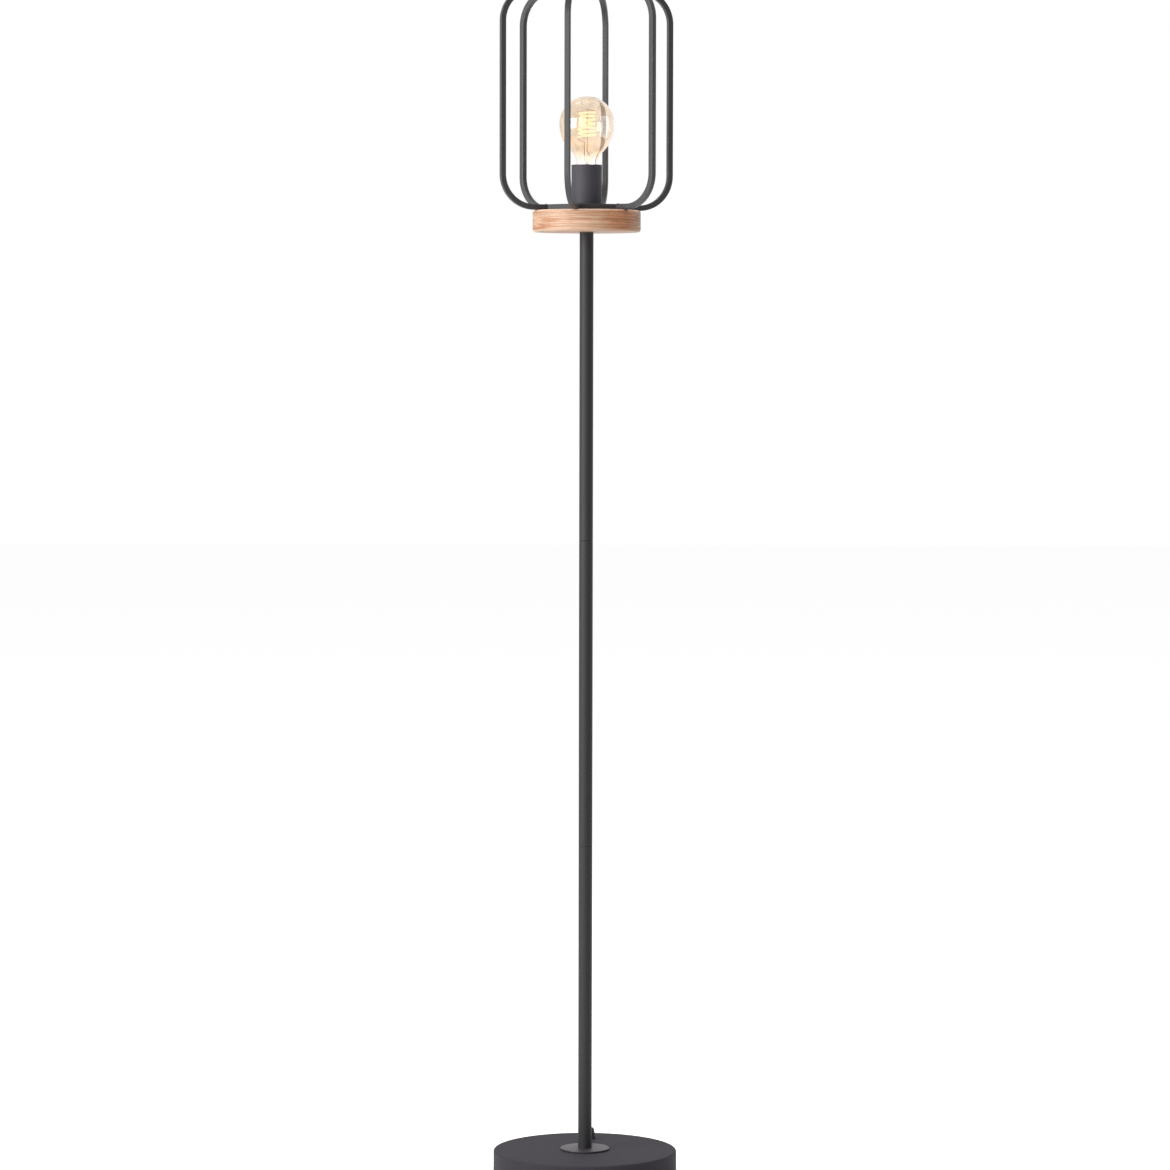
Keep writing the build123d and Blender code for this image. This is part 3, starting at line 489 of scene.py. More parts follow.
class Bench:
    """Modelling as by hand: primitives shaped in edit mode, with what is worked on picked by its place."""

    @staticmethod
    def start(
        primitive: Callable[..., set[str]], name: str, scale: Triple = (1, 1, 1), **options: object
    ) -> Piece:
        """Adds a primitive.

        Args:
            primitive: The operator that adds it.
            name: The piece's name.
            scale: How it is stretched along its own axes.
            options: The operator's own options.

        Returns:
            The new piece in object mode, with its place, turn and size in its mesh.
        """
        bpy.ops.object.select_all(action="DESELECT")
        primitive(**options)
        piece = bpy.context.view_layer.objects.active
        piece.name = name
        piece.data.name = name
        piece.scale = scale
        Bench.settle(piece)
        return piece

    @staticmethod
    @contextmanager
    def editing(piece: Piece, everything: bool = False) -> Iterator[None]:
        """Edit mode on one piece.

        Args:
            piece: The piece to edit.
            everything: Whether all of it is picked at the start, or else nothing.
        """
        Bench.choose(piece)
        bpy.ops.object.mode_set(mode="EDIT")
        bpy.ops.mesh.select_mode(type=Domain.VERTS.value)
        bpy.ops.mesh.select_all(action="SELECT" if everything else "DESELECT")
        yield
        bpy.ops.object.mode_set(mode="OBJECT")

    @staticmethod
    def choose(*pieces: Piece) -> None:
        """Selects these pieces alone and makes the first one active."""
        bpy.ops.object.select_all(action="DESELECT")
        for piece in pieces:
            piece.select_set(True)
        bpy.context.view_layer.objects.active = pieces[0]

    @staticmethod
    def pick(domain: Domain, test: Callable[[object], bool]) -> None:
        """Picks the vertices or edges that pass a test, and nothing else."""
        bpy.ops.mesh.select_mode(type=domain.value)
        bpy.ops.mesh.select_all(action="DESELECT")
        edited = bpy.context.edit_object.data
        mesh = bmesh.from_edit_mesh(edited)
        for item in mesh.verts if domain is Domain.VERTS else mesh.edges:
            if test(item):
                item.select_set(True)
        mesh.select_flush_mode()
        bmesh.update_edit_mesh(edited)

    @staticmethod
    def pull(offset: Triple) -> None:
        """Extrudes what is picked by an offset."""
        bpy.ops.mesh.extrude_region_move(TRANSFORM_OT_translate={"value": offset})

    @staticmethod
    def swell(width: float, depth: float, level: float) -> None:
        """Scales what is picked along X and Y about the lamp's axis, at a height."""
        bpy.ops.transform.resize(value=(width, depth, 1), center_override=(0, 0, level))

    @staticmethod
    def chain(name: str, points: Profile) -> Piece:
        """Draws a chain of edges from one vertex.

        Args:
            name: The piece's name.
            points: Distance from the lamp's axis and height of each point.

        Returns:
            The chain, on +X.
        """
        (x, z), *rest = points
        piece = Bench.start(bpy.ops.mesh.primitive_plane_add, name, size=MM, location=(x, 0, z))
        with Bench.editing(piece, everything=True):
            bpy.ops.mesh.merge(type="CENTER")
            for next_x, next_z in rest:
                Bench.pull((next_x - x, 0, next_z - z))
                x, z = next_x, next_z
        return piece

    @staticmethod
    def revolve(name: str, points: Profile, steps: int = 96) -> Piece:
        """Turns a chain about the lamp's axis into a skin."""
        piece = Bench.chain(name, points)
        merge = {"use_merge_vertices": True, "merge_threshold": 0.001 * MM}
        Bench.modify(piece, "SCREW", steps=steps, render_steps=steps, **merge)
        Bench.tidy(piece)
        return piece

    @staticmethod
    def press(piece: Piece, depth: Callable[[float, float, float], float]) -> None:
        """Presses a revolved skin towards the axis.

        Args:
            piece: The skin.
            depth: How deep it is pressed at an angle about the axis, a height and a radius.
        """
        for vert in piece.data.vertices:
            radius = math.hypot(vert.co.x, vert.co.y)
            factor = 1 - depth(math.atan2(vert.co.y, vert.co.x), vert.co.z, radius) / radius
            vert.co.x *= factor
            vert.co.y *= factor

    @staticmethod
    def modify(piece: Piece, kind: str, **settings: object) -> None:
        """Adds a modifier to a piece and applies it."""
        Bench.choose(piece)
        modifier = piece.modifiers.new(kind.title(), kind)
        for name, value in settings.items():
            setattr(modifier, name, value)
        bpy.ops.object.modifier_apply(modifier=modifier.name)

    @staticmethod
    def wall(piece: Piece, thickness: float) -> None:
        """Gives a skin its wall, on its inner side."""
        Bench.modify(piece, "SOLIDIFY", thickness=thickness, offset=-1.0)

    @staticmethod
    def round_edges(piece: Piece, width: float, segments: int, crease: float) -> None:
        """Rounds the edges that are sharper than an angle in degrees."""
        limit = {"limit_method": "ANGLE", "angle_limit": math.radians(crease)}
        Bench.modify(piece, "BEVEL", width=width, segments=segments, **limit)

    @staticmethod
    def settle(piece: Piece) -> None:
        """Puts a piece's place, turn and size into its mesh."""
        Bench.choose(piece)
        bpy.ops.object.transform_apply(location=True, rotation=True, scale=True)

    @staticmethod
    def copy(piece: Piece, name: str, turn: float = 0.0, offset: Triple | Vector = (0, 0, 0)) -> Piece:
        """Copies a piece with its own mesh.

        Args:
            piece: The piece to copy, with its place in its mesh.
            name: The copy's name.
            turn: Angle in radians that the copy is turned by about the lamp's axis.
            offset: What the copy is moved by after that.

        Returns:
            The copy, with its place in its mesh.
        """
        Bench.choose(piece)
        bpy.ops.object.duplicate(linked=False)
        twin = bpy.context.view_layer.objects.active
        twin.name = name
        twin.data.name = name
        twin.rotation_euler = (0.0, 0.0, turn)
        twin.location = offset
        Bench.settle(twin)
        return twin

    @staticmethod
    def join(pieces: list[Piece], name: str) -> Piece:
        """Joins pieces into one."""
        Bench.choose(*pieces)
        bpy.ops.object.join()
        pieces[0].name = name
        pieces[0].data.name = name
        return pieces[0]

    @staticmethod
    def tidy(piece: Piece, crease: float = 40.0) -> None:
        """Merges doubles, turns the faces outwards and smooths the shading.

        Args:
            piece: The piece, with its place in its mesh.
            crease: Edges sharper than this angle in degrees stay sharp.
        """
        with Bench.editing(piece, everything=True):
            bpy.ops.mesh.remove_doubles(threshold=0.002 * MM)
            bpy.ops.mesh.normals_make_consistent(inside=False)
        bpy.ops.object.shade_smooth_by_angle(angle=math.radians(crease))


def arc(centre: tuple[float, float], radius: float, start: float, end: float, steps: int) -> Profile:
    """Points of an arc in a profile.

    Args:
        centre: Its centre's distance from the axis and height.
        radius: Its radius.
        start: Its first angle in degrees, from straight outwards towards up.
        end: Its last angle in degrees.
        steps: How many chords it has.

    Returns:
        The points from start to end.
    """
    angles = [math.radians(start + (end - start) * step / steps) for step in range(steps + 1)]
    return [(centre[0] + radius * math.cos(a), centre[1] + radius * math.sin(a)) for a in angles]


class Wardrobe:
    """The materials, each made once, and the pieces' dressing."""

    def __init__(self) -> None:
        """Starts with no material made."""
        self.made: dict[str, bpy.types.Material] = {}

    def material(self, slot: str) -> bpy.types.Material:
        """The material of a slot."""
        if slot not in self.made:
            self.made[slot] = FINISHES[slot].material(slot)
        return self.made[slot]

    def dress(self, piece: Piece, slot: str, body: Body, *replaced: str) -> Piece:
        """Gives a finished piece its material and its body, and hides the CAD nodes that it stands for.

        Args:
            piece: The piece, with its place in its mesh.
            slot: The record's material slot.
            body: The body that it moves with.
            replaced: CAD nodes that are hidden in its favour.

        Returns:
            The same piece.
        """
        piece.data.materials.clear()
        piece.data.materials.append(self.material(slot))
        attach(piece, body.value)
        if replaced:
            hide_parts(*replaced)
        LOG.info("%s: %d faces in %s", piece.name, len(piece.data.polygons), slot)
        return piece

    def dress_frame(self) -> None:
        """Gives every CAD node the material of its slot."""
        for part in FRAME["record"]["subparts"]:
            mesh = FRAME["nodes"][part["node"]].data
            mesh.materials.clear()
            mesh.materials.append(self.material(part["material_slot"]))
        LOG.info("dressed %d frame nodes", len(FRAME["nodes"]))


# ---- cage


@dataclass
class Cage:
    """Six bent square bars on two hexagonal rings, with the welds between them."""

    wardrobe: Wardrobe
    reach: float = 97.5 * MM
    bar_size: float = 6.0 * MM
    bar_edge: float = 0.8 * MM
    edge_segments: int = 4
    bend_outer_radius: float = 38.0 * MM
    bend_steps: int = 18
    ring_corner_radius: float = 46.5 * MM
    first_angle: float = -12.5
    bar_sink: float = 2.2 * MM
    weld_size: Triple = (1.5 * MM, 2.6 * MM, 0.75 * MM)
    weld_inset: float = 0.9 * MM
    weld_sink: float = 0.15 * MM
    weld_unevenness: float = 0.12 * MM
    weld_crease: float = 80.0
    names: tuple[str, ...] = ("front", "front_right", "back_right", "back", "back_left", "front_left")

    def __post_init__(self) -> None:
        """Reads the cage's height from the frame."""
        self.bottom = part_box("cage_ring_lower")[0].z
        self.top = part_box("cage_ring_upper")[1].z

    def turn(self, index: int) -> float:
        """Angle about Z, in radians, that brings +X to a bar."""
        return math.radians(self.first_angle + index * 360 / len(self.names) - 90)

    def bar(self) -> Piece:
        """One bar along +X: a square drawn out, spun round each bend and drawn out again."""
        start = self.ring_corner_radius - self.bar_sink
        bend_x = self.reach - self.bend_outer_radius
        low_bend_z = self.bottom + self.bend_outer_radius
        high_bend_z = self.top - self.bend_outer_radius
        place = {"location": (start, 0, self.bottom + self.bar_size / 2), "rotation": (0, math.pi / 2, 0)}
        piece = Bench.start(bpy.ops.mesh.primitive_plane_add, "cage_bar", size=self.bar_size, **place)
        bend = {"steps": self.bend_steps, "angle": math.pi / 2, "axis": (0, 1, 0)}
        with Bench.editing(piece, everything=True):
            Bench.pull((bend_x - start, 0, 0))
            bpy.ops.mesh.spin(center=(bend_x, 0, low_bend_z), **bend)
            Bench.pull((0, 0, high_bend_z - low_bend_z))
            bpy.ops.mesh.spin(center=(bend_x, 0, high_bend_z), **bend)
            Bench.pull((start - bend_x, 0, 0))
        Bench.tidy(piece)
        Bench.round_edges(piece, self.bar_edge, self.edge_segments, 40.0)
        Bench.tidy(piece)
        return piece

    def ring(self) -> Piece:
        """The lower ring: a hexagon inset by one bar's width, opened and drawn up."""
        hexagon = {"vertices": len(self.names), "radius": self.ring_corner_radius, "fill_type": "NGON"}
        place = (0, 0, self.bottom)
        piece = Bench.start(bpy.ops.mesh.primitive_circle_add, "cage_ring", location=place, **hexagon)
        corner = piece.data.vertices[0].co
        piece.rotation_euler = (0, 0, self.turn(0) - math.atan2(corner.y, corner.x))
        Bench.settle(piece)
        with Bench.editing(piece, everything=True):
            bpy.ops.mesh.inset(thickness=self.bar_size, depth=0)
            bpy.ops.mesh.delete(type="FACE")
            bpy.ops.mesh.select_all(action="SELECT")
            Bench.pull((0, 0, self.bar_size))
        Bench.tidy(piece)
        Bench.round_edges(piece, self.bar_edge, self.edge_segments, 70.0)
        Bench.tidy(piece, 35.0)
        return piece

    def weld(self) -> Piece:
        """A ground weld bead over the joint on +X, a flattened lump with an uneven skin."""
        seat = (self.ring_corner_radius - self.weld_inset, 0, self.bottom + self.bar_size - self.weld_sink)
        ball = {"subdivisions": 3, "radius": 1.0, "location": seat}
        piece = Bench.start(bpy.ops.mesh.primitive_ico_sphere_add, "weld", self.weld_size, **ball)
        with Bench.editing(piece, everything=True):
            bpy.ops.transform.vertex_random(offset=self.weld_unevenness, seed=4)
            bpy.ops.mesh.vertices_smooth(factor=0.5, repeat=2)
        Bench.tidy(piece, self.weld_crease)
        return piece

    def welds(self) -> tuple[Piece, Piece]:
        """The beads on the lower ring, and their mirror image on the upper one."""
        weld = self.weld()
        beads = [Bench.copy(weld, f"weld_{index}", self.turn(index)) for index in range(len(self.names))]
        bpy.data.objects.remove(weld)
        lower = Bench.join(beads, "cage_welds_lower")
        upper = Bench.copy(lower, "cage_welds_upper")
        middle = (0, 0, (self.bottom + self.top) / 2)
        with Bench.editing(upper, everything=True):
            bpy.ops.transform.resize(value=(1, 1, -1), center_override=middle)
        Bench.tidy(upper, self.weld_crease)
        return lower, upper

    def build(self) -> None:
        """Builds the bars, rings and welds and dresses them."""
        dress = self.wardrobe.dress
        bar = self.bar()
        for index, name in enumerate(self.names):
            twin = Bench.copy(bar, f"cage_bar_{name}_dressed", self.turn(index))
            dress(twin, "cage_paint", Body.LAMP, f"cage_bar_{name}")
        bpy.data.objects.remove(bar)
        lower = self.ring()
        lift = (0, 0, self.top - self.bottom - self.bar_size)
        upper = Bench.copy(lower, "cage_ring_upper_dressed", offset=lift)
        lower.name = "cage_ring_lower_dressed"
        welds = self.welds()
        dress(lower, "cage_paint", Body.LAMP, "cage_ring_lower")
        dress(upper, "cage_paint", Body.LAMP, "cage_ring_upper")
        for beads in welds:
            dress(beads, "cage_paint", Body.LAMP)


# ---- lampholder and fixings


@dataclass
class Fixings:
    """The collar at the foot, the drawn cup round the lampholder, the cage's screws and the lead's gland."""

    wardrobe: Wardrobe
    cup_wall: float = 0.8 * MM
    cup_edge: float = 1.6 * MM
    cup_rim: float = 0.25 * MM
    rod_hole: float = 5.25 * MM
    screw_count: int = 3
    screw_circle: float = 27.0 * MM
    first_screw: float = -102.5
    screw_head: float = 3.4 * MM
    screw_head_height: float = 2.0 * MM
    screw_dome: float = 1.1 * MM
    recess: Triple = (3.6 * MM, 0.8 * MM, 2.2 * MM)
    shank: float = 1.6 * MM
    gland_place: tuple[float, float] = (5.0 * MM, 62.5 * MM)
    gland_bore: float = 3.1 * MM
    gland_stem: float = 5.0 * MM
    gland_step: float = 0.3 * MM
    gland_edge: float = 0.8 * MM
    gland_steps: int = 120
    collar: float = 6.4 * MM
    collar_height: float = 4.0 * MM
    nose: float = 4.4 * MM
    grooves: int = 4
    groove_depth: float = 0.3 * MM
    groove_start: float = 0.7
    groove_floor: float = 0.75
    flutes: int = 20
    flute_depth: float = 0.45 * MM
    rosette_roll: float = 0.7 * MM
    rosette_gap: float = 0.6 * MM
    rosette_steps: int = 128

    def __post_init__(self) -> None:
        """Reads the heights of the base and of the gland's collar from the frame."""
        self.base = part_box("base_cover")[1].z
        self.collar_top = self.base + self.collar_height

    def cup(self) -> Piece:
        """The cup: its side and rounded foot as one skin, with a wall and an eased rim."""
        low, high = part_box("socket_cup")
        foot = arc((high.x - self.cup_edge, low.z + self.cup_edge), self.cup_edge, -90, 0, 8)
        piece = Bench.revolve("socket_cup_dressed", [(self.rod_hole, low.z), *foot, (high.x, high.z)])
        Bench.wall(piece, self.cup_wall)
        Bench.round_edges(piece, self.cup_rim, 2, 60.0)
        Bench.tidy(piece)
        return piece

    def screw(self) -> Piece:
        """One pan-head screw with a cross recess."""
        bottom, top = (corner.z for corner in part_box("plate_screws"))
        seat = top - self.screw_head_height
        middle = seat + self.screw_head_height / 2
        head = {"vertices": 32, "radius": self.screw_head, "depth": self.screw_head_height}
        piece = Bench.start(bpy.ops.mesh.primitive_cylinder_add, "screw", location=(0, 0, middle), **head)
        with Bench.editing(piece):
            Bench.pick(Domain.EDGES, lambda edge: min(vert.co.z for vert in edge.verts) > middle)
            bpy.ops.mesh.bevel(offset=self.screw_dome, segments=5, affect="EDGES")
        for turn in (0, math.pi / 2):
            slot = {"size": 1.0, "location": (0, 0, top), "rotation": (0, 0, turn)}
            cutter = Bench.start(bpy.ops.mesh.primitive_cube_add, "slot", self.recess, **slot)
            Bench.modify(piece, "BOOLEAN", operation="DIFFERENCE", object=cutter, solver="EXACT")
            bpy.data.objects.remove(cutter)
        length = seat - bottom
        stalk = {"vertices": 16, "radius": self.shank, "depth": length, "location": (0, 0, seat - length / 2)}
        shank = Bench.start(bpy.ops.mesh.primitive_cylinder_add, "shank", **stalk)
        piece = Bench.join([piece, shank], "screw")
        Bench.tidy(piece, 30.0)
        return piece

    def screws(self) -> Piece:
        """The screws round the plate, each turned its own way."""
        screw = self.screw()
        places = []
        for index in range(self.screw_count):
            turn = math.radians(self.first_screw + 360 / self.screw_count * index)
            seat = Vector((math.cos(turn), math.sin(turn), 0)) * self.screw_circle
            places.append(Bench.copy(screw, f"screw_{index}", turn + index, seat))
        bpy.data.objects.remove(screw)
        return Bench.join(places, "plate_screws_dressed")

    def nose_radius(self, share: float) -> float:
        """The gland's radius at a share of its nose's height, full below and drawn in towards its tip."""
        full = self.collar - self.gland_step
        return full - (full - self.nose) * share**2

    def gland(self) -> Piece:
        """The gland: a fluted collar under a rounded nose with ring grooves."""
        low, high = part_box("cable_gland")
        edge = self.gland_edge
        tip = arc((self.nose - edge, high.z - edge), edge, 0, 90, 5)
        shoulder = arc((self.collar - edge, self.collar_top - edge), edge, 0, 90, 4)
        step = (tip[0][1] - self.collar_top) / self.grooves
        nose = []
        for index in range(self.grooves):
            start = self.collar_top + step * index
            outer = self.nose_radius(index / self.grooves)
            inner = outer - self.groove_depth
            nose += [(outer, start), (outer, start + self.groove_start * step)]
            nose += [(inner, start + self.groove_floor * step), (inner, start + step)]
        inside = (self.gland_bore, low.z)
        stem = [(self.gland_stem, low.z), (self.gland_stem, self.base), (self.collar, self.base)]
        profile = [inside, *stem, *shoulder, *nose, *tip, (self.gland_bore, high.z), inside]
        piece = Bench.revolve("cable_gland_dressed", profile, self.gland_steps)
        Bench.press(piece, self.flute)
        piece.location = (*self.gland_place, 0)
        Bench.settle(piece)
        Bench.tidy(piece, 35.0)
        return piece

    def flute(self, turn: float, level: float, radius: float) -> float:
        """How deep the collar's flutes are pressed at one point of the gland."""
        below_edge = level < self.collar_top - self.gland_edge / 2
        on_collar = radius > self.collar - self.gland_step and below_edge
        return self.flute_depth * (1 - math.cos(self.flutes * turn)) / 2 if on_collar else 0.0

    def rosette(self) -> Piece:
        """The collar at the pole's foot: pressed sheet whose rolled edge stands a little off the base."""
        low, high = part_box("foot_rosette")
        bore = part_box("pole_lower")[1].x
        foot = high.x - self.rosette_roll
        heel = foot - self.rosette_gap
        roll = arc((foot, high.z - self.rosette_roll), self.rosette_roll, -90, 90, 10)
        sole = [(bore, low.z), (heel, low.z), (heel, low.z + self.rosette_gap)]
        profile = [*sole, *roll, (bore, high.z), (bore, low.z)]
        return Bench.revolve("foot_rosette_dressed", profile, self.rosette_steps)

    def build(self) -> None:
        """Builds the pieces and dresses them."""
        dress = self.wardrobe.dress
        dress(self.rosette(), "rosette_paint", Body.LAMP, "foot_rosette")
        dress(self.cup(), "cup_paint", Body.LAMP, "socket_cup")
        dress(self.screws(), "zinc_steel", Body.LAMP, "plate_screws")
        dress(self.gland(), "gland_plastic", Body.LAMP, "cable_gland")


# ---- bulb


@dataclass
class Bulb:
    """Round bulb: glass, glass stem, curled filament on its wires, and a threaded cap."""

    wardrobe: Wardrobe
    radius: float = 30.0 * MM
    wall: float = 0.8 * MM
    shoulder_radius: float = 42.0 * MM
    shoulder_angle: float = 46.0
    shoulder_steps: int = 18
    neck_radius: float = 11.2 * MM
    segments: int = 96
    wire_radius: float = 0.95 * MM
    wire_sides: int = 16
    turns: float = 6.5
    turn_steps: int = 48
    held_share: float = 0.125
    taper: float = 0.16
    sway: float = 0.04
    sag: float = 0.6 * MM
    flare_height: float = 11.0 * MM
    flare_steps: int = 12
    flare_curve: float = 2.4
    rod_radius: float = 2.6 * MM
    pinch: tuple[tuple[float, float], ...] = ((1.32, 0.78), (1.32, 0.78), (0.93, 0.96), (0.93, 0.96))
    cap_wall: float = 0.35 * MM
    thread_pitch: float = 3.63 * MM
    thread_depth: float = 0.9 * MM
    thread_height: float = 16.5 * MM
    thread_steps: int = 66
    groove_rise: float = 0.9 * MM
    groove_radius: float = 0.5 * MM
    rim_height: float = 0.3 * MM
    rim_slope: float = 0.15 * MM
    lip_rise: float = 1.0 * MM
    lip_radius: float = 9.4 * MM

    def __post_init__(self) -> None:
        """Reads the heights of the glass and of the cap's thread from the frame."""
        self.bottom, self.top = (corner.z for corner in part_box("bulb_glass"))
        self.centre = self.top - self.radius
        self.thread_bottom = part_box("bulb_cap")[0].z + self.lip_rise
        self.thread_top = self.thread_bottom + self.thread_height

    def outline(self) -> Profile:
        """Radius and height of the glass's side from its widest ring down to its foot."""
        turn = math.radians(self.shoulder_angle)
        shoulder_x = self.radius - self.shoulder_radius
        hollow_start = shoulder_x + self.shoulder_radius * math.cos(turn)
        hollow_radius = (hollow_start - self.neck_radius) / (1 - math.cos(turn))
        hollow_x = self.neck_radius + hollow_radius
        hollow_z = self.centre - (self.shoulder_radius + hollow_radius) * math.sin(turn)
        angle, steps = self.shoulder_angle, self.shoulder_steps
        shoulder = arc((shoulder_x, self.centre), self.shoulder_radius, 0, -angle, steps)[1:]
        hollow = arc((hollow_x, hollow_z), hollow_radius, 180 - angle, 180, steps)[1:]
        return shoulder + hollow + [(self.neck_radius, self.bottom)]

    def glass(self) -> Piece:
        """The blown envelope: a sphere's upper half drawn down ring by ring, then given its wall."""
        sphere = {"segments": self.segments, "ring_count": self.segments // 2, "radius": self.radius}
        sphere["location"] = (0, 0, self.centre)
        piece = Bench.start(bpy.ops.mesh.primitive_uv_sphere_add, "bulb_glass_dressed", **sphere)
        tiny = 0.01 * MM
        with Bench.editing(piece):
            Bench.pick(Domain.VERTS, lambda vert: vert.co.z < self.centre - tiny)
            bpy.ops.mesh.delete(type="VERT")
            Bench.pick(Domain.VERTS, lambda vert: vert.co.z < self.centre + tiny)
            bpy.ops.mesh.select_mode(type=Domain.EDGES.value)
            radius, level = self.radius, self.centre
            for next_radius, next_level in self.outline():
                Bench.pull((0, 0, next_level - level))
                Bench.swell(next_radius / radius, next_radius / radius, next_level)
                radius, level = next_radius, next_level
        Bench.tidy(piece, 80.0)
        Bench.wall(piece, self.wall)
        bpy.ops.object.shade_smooth_by_angle(angle=math.radians(60))
        return piece

    def filament(self) -> Piece:
        """The curled filament: a ring screwed up the lamp's axis, its ends drawn out straight and closed."""
        low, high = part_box("bulb_filament")
        coil = (high.x - low.x) / 2 - self.wire_radius
        length = math.tau * self.turns * coil
        lead = 2 * self.wire_radius
        rise = (high.z - low.z - 2 * self.wire_radius) / (length + 2 * lead)
        start = low.z + self.wire_radius + rise * lead
        end = start + rise * length
        place = {"location": (-coil, 0, start), "rotation": (math.pi / 2, 0, 0)}
        circle = {"vertices": self.wire_sides, "radius": self.wire_radius, **place}
        piece = Bench.start(bpy.ops.mesh.primitive_circle_add, "bulb_filament_dressed", **circle)
        steps = int(self.turns * self.turn_steps)
        screw = {"angle": math.tau * self.turns, "screw_offset": end - start, "iterations": 1, "axis": "Z"}
        Bench.modify(piece, "SCREW", steps=steps, render_steps=steps, **screw)
        with Bench.editing(piece):
            for level, heading in ((start, 1.0), (end, -1.0)):
                tip = Vector((-heading * coil, 0, level))
                Bench.pick(Domain.VERTS, lambda vert: vert.is_boundary and (vert.co - tip).length < lead)
                Bench.pull((0, heading * lead, -heading * rise * lead))
                bpy.ops.mesh.edge_face_add()
        self.unsettle(piece, start, end)
        Bench.tidy(piece, 60.0)
        return piece

    def unsettle(self, piece: Piece, low: float, high: float) -> None:
        """Narrows a coil upwards and makes its turns a little uneven, with its ends left in place."""
        for vert in piece.data.vertices:
            share = (vert.co.z - low) / (high - low)
            slack = max(0.0, min(1.0, share / self.held_share, (1 - share) / self.held_share))
            turn = math.atan2(vert.co.y, vert.co.x)
            factor = 1 - slack * (self.taper * share + self.sway * math.sin(2 * turn + 17 * share))
            vert.co.x *= factor
            vert.co.y *= factor
            vert.co.z += slack * self.sag * math.sin(turn + 11 * share)

    def stem(self) -> Piece:
        """The glass stem: a flare drawn up to a rod, flattened into the pinch that holds the wires."""
        low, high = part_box("bulb_stem")
        flare = radius = (high.x - low.x) / 2
        circle = {"vertices": 48, "radius": flare, "location": (0, 0, low.z), "fill_type": "NOTHING"}
        piece = Bench.start(bpy.ops.mesh.primitive_circle_add, "bulb_stem_dressed", **circle)
        rest = high.z - low.z - self.flare_height
        with Bench.editing(piece, everything=True):
            for step in range(1, self.flare_steps + 1):
                share = step / self.flare_steps
                wanted = self.rod_radius + (flare - self.rod_radius) * (1 - share) ** self.flare_curve
                Bench.pull((0, 0, self.flare_height / self.flare_steps))
                Bench.swell(wanted / radius, wanted / radius, low.z + self.flare_height * share)
                radius = wanted
            for width, depth in self.pinch:
                Bench.pull((0, 0, rest / len(self.pinch)))
                Bench.swell(width, depth, high.z)
            bpy.ops.mesh.edge_face_add()
        Bench.tidy(piece, 70.0)
        return piece

    def thread(self, turn: float, level: float, _radius: float) -> float:
        """How deep the cap's right-hand thread is pressed at one point, running out at both ends."""
        up = level - self.thread_bottom
        run_out = min(1.0, up / (self.thread_pitch / 2), (self.thread_top - level) / (self.thread_pitch / 2))
        wave = 1 - math.cos(math.tau * up / self.thread_pitch - turn)
        return self.thread_depth / 2 * wave * max(0.0, run_out)

    def cap(self) -> Piece:
        """The screw cap: a thin skin with a rounded thread pressed into it, under a grooved rim."""
        low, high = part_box("bulb_cap")
        radius = high.x
        shares = [step / self.thread_steps for step in range(self.thread_steps + 1)]
        side = [(radius, self.thread_bottom + self.thread_height * share) for share in shares]
        lip = arc((radius - self.lip_rise, self.thread_bottom), self.lip_rise, -90, 0, 5)[:-1]
        groove = arc((radius, self.thread_top + self.groove_rise), self.groove_radius, 270, 90, 8)
        rim = [(radius, high.z - self.rim_height), (radius - self.rim_slope, high.z)]
        piece = Bench.revolve("bulb_cap_dressed", [(self.lip_radius, low.z), *lip, *side, *groove, *rim])
        Bench.press(piece, self.thread)
        Bench.wall(piece, self.cap_wall)
        Bench.tidy(piece, 50.0)
        return piece

    def build(self) -> Piece:
        """Builds the bulb's pieces and dresses them, and gives back the glass."""
        dress = self.wardrobe.dress
        dress(self.cap(), "cap_metal", Body.BULB, "bulb_cap")
        dress(self.filament(), "filament", Body.BULB, "bulb_filament")
        dress(self.stem(), "stem_glass", Body.BULB, "bulb_stem")
        return dress(self.glass(), "amber_glass", Body.BULB, "bulb_glass")


# ---- studio


@dataclass(frozen=True)
class Softbox:
    """One rectangular soft light."""

    name: str
    place: Triple
    aim: Triple
    size: tuple[float, float]
    watts: float
    colour: Triple = (1.0, 1.0, 1.0)
    mirrored: bool = True

    def hang(self) -> Piece:
        """Hangs the light in the studio."""
        data = bpy.data.lights.new(self.name, "AREA")
        data.shape = "RECTANGLE"
        data.size, data.size_y = self.size
        data.energy = self.watts
        data.color = self.colour
        light = bpy.data.objects.new(self.name, data)
        light.location = self.place
        light.rotation_euler = (Vector(self.aim) - Vector(self.place)).to_track_quat("-Z", "Y").to_euler()
        light.visible_glossy = self.mirrored
        bpy.context.scene.collection.objects.link(light)
        return light


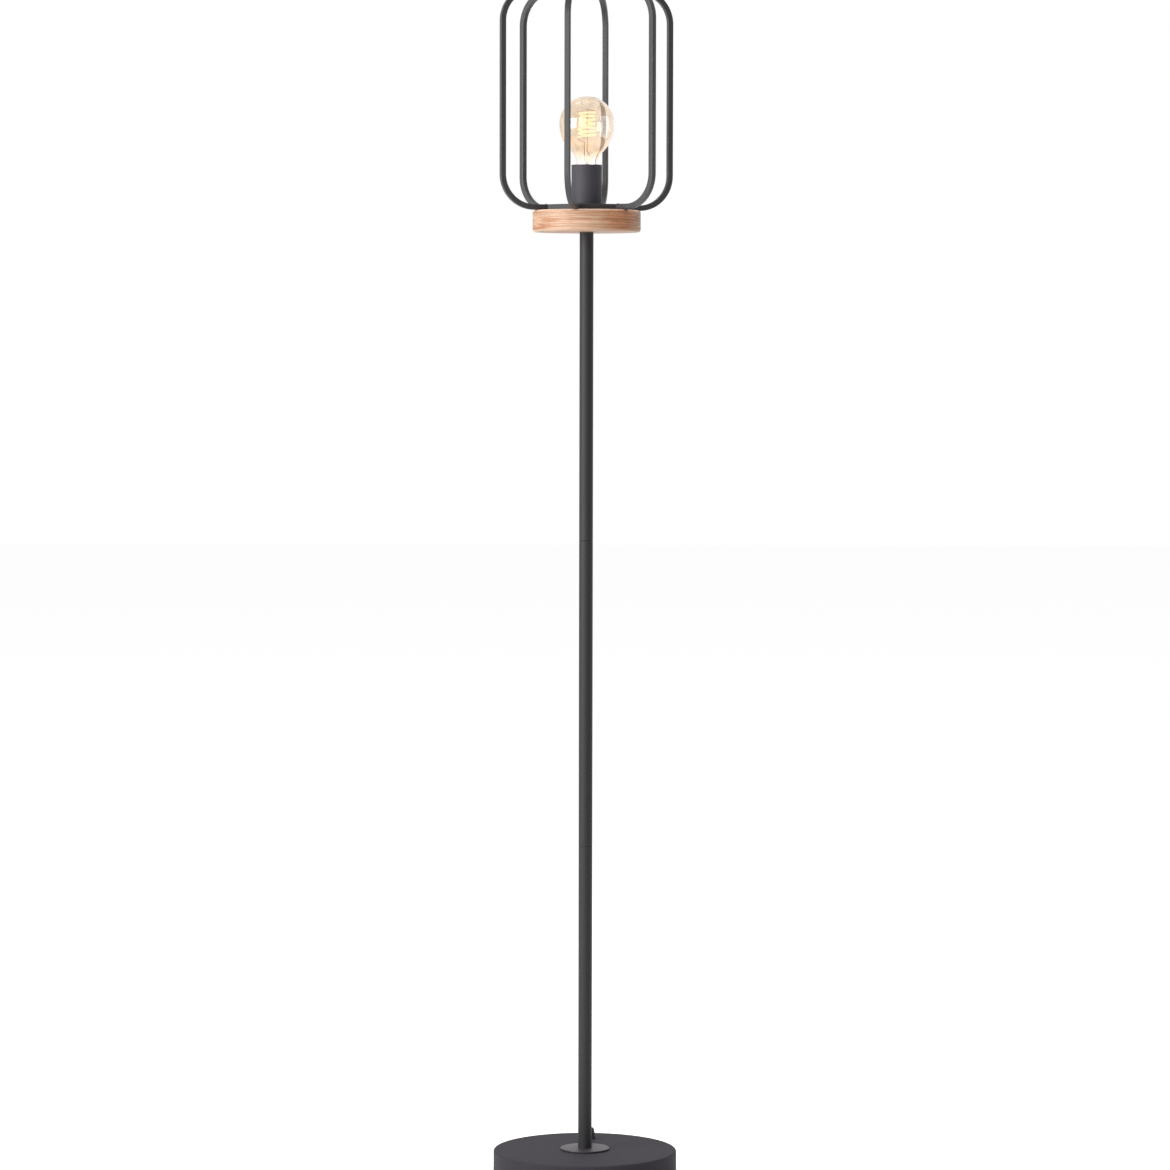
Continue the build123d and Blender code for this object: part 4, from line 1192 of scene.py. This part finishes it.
@dataclass
class Studio:
    """The camera at the photograph's viewing angle, soft light, and a plain pale floor."""

    lens_mm: float = 130.66
    sensor_mm: float = 36.0
    distance: float = 4.6065
    height: float = 0.8979
    pitch: float = 3.1625
    roll: float = 0.11
    side: float = -1.0 * MM
    floor_size: float = 30.0
    floor_colour: Colour = (0.7, 0.7, 0.7, 1.0)
    floor_lift: float = 0.75
    ambient: float = 0.42
    room_dimness: float = 0.35
    lights: tuple[Softbox, ...] = (
        Softbox("key", (-2.55, -1.55, 1.35), (0, 0, 0.8), (1.6, 1.6), 86.0),
        Softbox("front", (-1.2, -3.4, 1.5), (0, 0, 0.9), (1.6, 2.0), 45.0),
        Softbox("top", (0, 0, 3.2), (0, 0, 0), (2.4, 2.4), 60.0, mirrored=False),
    )
    screen: Softbox = Softbox("screen", (2.0, -0.25, 1.05), (0, 0, 1.1), (1.6, 2.1), 38.0, (0.92, 0.92, 1.0))

    def camera(self) -> None:
        """Sets up the camera that was fitted to the photograph."""
        data = bpy.data.cameras.new("camera")
        data.lens = self.lens_mm
        data.sensor_width = self.sensor_mm
        data.clip_end = 100.0
        camera = bpy.data.objects.new("camera", data)
        tilt = Matrix.Rotation(math.radians(90 - self.pitch), 4, "X")
        roll = Matrix.Rotation(math.radians(self.roll), 4, "Z")
        camera.matrix_world = Matrix.Translation((self.side, -self.distance, self.height)) @ tilt @ roll
        bpy.context.scene.collection.objects.link(camera)
        bpy.context.scene.camera = camera

    @staticmethod
    def rays(graph: Graph, *kinds: str) -> Shade:
        """1 for rays of the named kinds, and else 0."""
        found = [graph.node("ShaderNodeLightPath", output=f"Is {kind} Ray") for kind in kinds]
        return graph.node("ShaderNodeClamp", {}, {0: sum(found[1:], found[0])})

    def world(self) -> None:
        """A white studio, dimmer behind the camera, that shows as plain white and lights a little less."""
        world = bpy.data.worlds.new("studio")
        bpy.context.scene.world = world
        world.use_nodes = True
        graph = Graph(world.node_tree)
        heading = graph.node("ShaderNodeTexCoord", output="Generated")
        depth = graph.node("ShaderNodeSeparateXYZ", inputs={0: heading}, output="Y")
        room = self.room_dimness + graph.ease(depth, -0.7, 0.2) * (1 - self.room_dimness)
        seen = self.rays(graph, "Camera", "Transmission")
        lit = self.ambient + self.rays(graph, "Glossy") * (1 - self.ambient)
        strength = seen + (1 - seen) * room * lit
        light = graph.node("ShaderNodeBackground", {}, {"Color": WHITE, "Strength": strength})
        graph.node("ShaderNodeOutputWorld", {}, {"Surface": light})

    def floor(self) -> None:
        """A white floor that keeps the lamp's shadow."""
        piece = Bench.start(bpy.ops.mesh.primitive_plane_add, "floor", size=self.floor_size)
        material = bpy.data.materials.new("floor")
        material.use_nodes = True
        graph = Graph(material.node_tree)
        matt = graph.node("ShaderNodeBsdfDiffuse", {}, {"Color": self.floor_colour})
        strength = self.rays(graph, "Camera", "Transmission", "Glossy") * self.floor_lift
        lift = graph.node("ShaderNodeEmission", {}, {"Strength": strength})
        both = graph.node("ShaderNodeAddShader", {}, {0: matt, 1: lift})
        graph.node("ShaderNodeOutputMaterial", {}, {"Surface": both})
        piece.data.materials.append(material)

    def build(self) -> None:
        """Sets up the whole studio."""
        self.camera()
        self.world()
        self.floor()
        for softbox in self.lights:
            softbox.hang()
        LOG.info("studio ready")

    def light_glass(self, glass: Piece) -> None:
        """Hangs a tall side screen that shows in the bulb's glass and nowhere else."""
        lit = bpy.data.collections.new("glass")
        lit.objects.link(glass)
        self.screen.hang().light_linking.receiver_collection = lit


# ---- whole lamp


def main() -> None:
    """Builds the studio and the lamp's dressed pieces."""
    logging.basicConfig(level=logging.INFO, format="%(name)s %(message)s")
    bpy.context.scene.view_settings.view_transform = "Standard"
    studio = Studio()
    studio.build()
    wardrobe = Wardrobe()
    wardrobe.dress_frame()
    Cage(wardrobe).build()
    Fixings(wardrobe).build()
    studio.light_glass(Bulb(wardrobe).build())


if __name__ == "__main__":
    main()
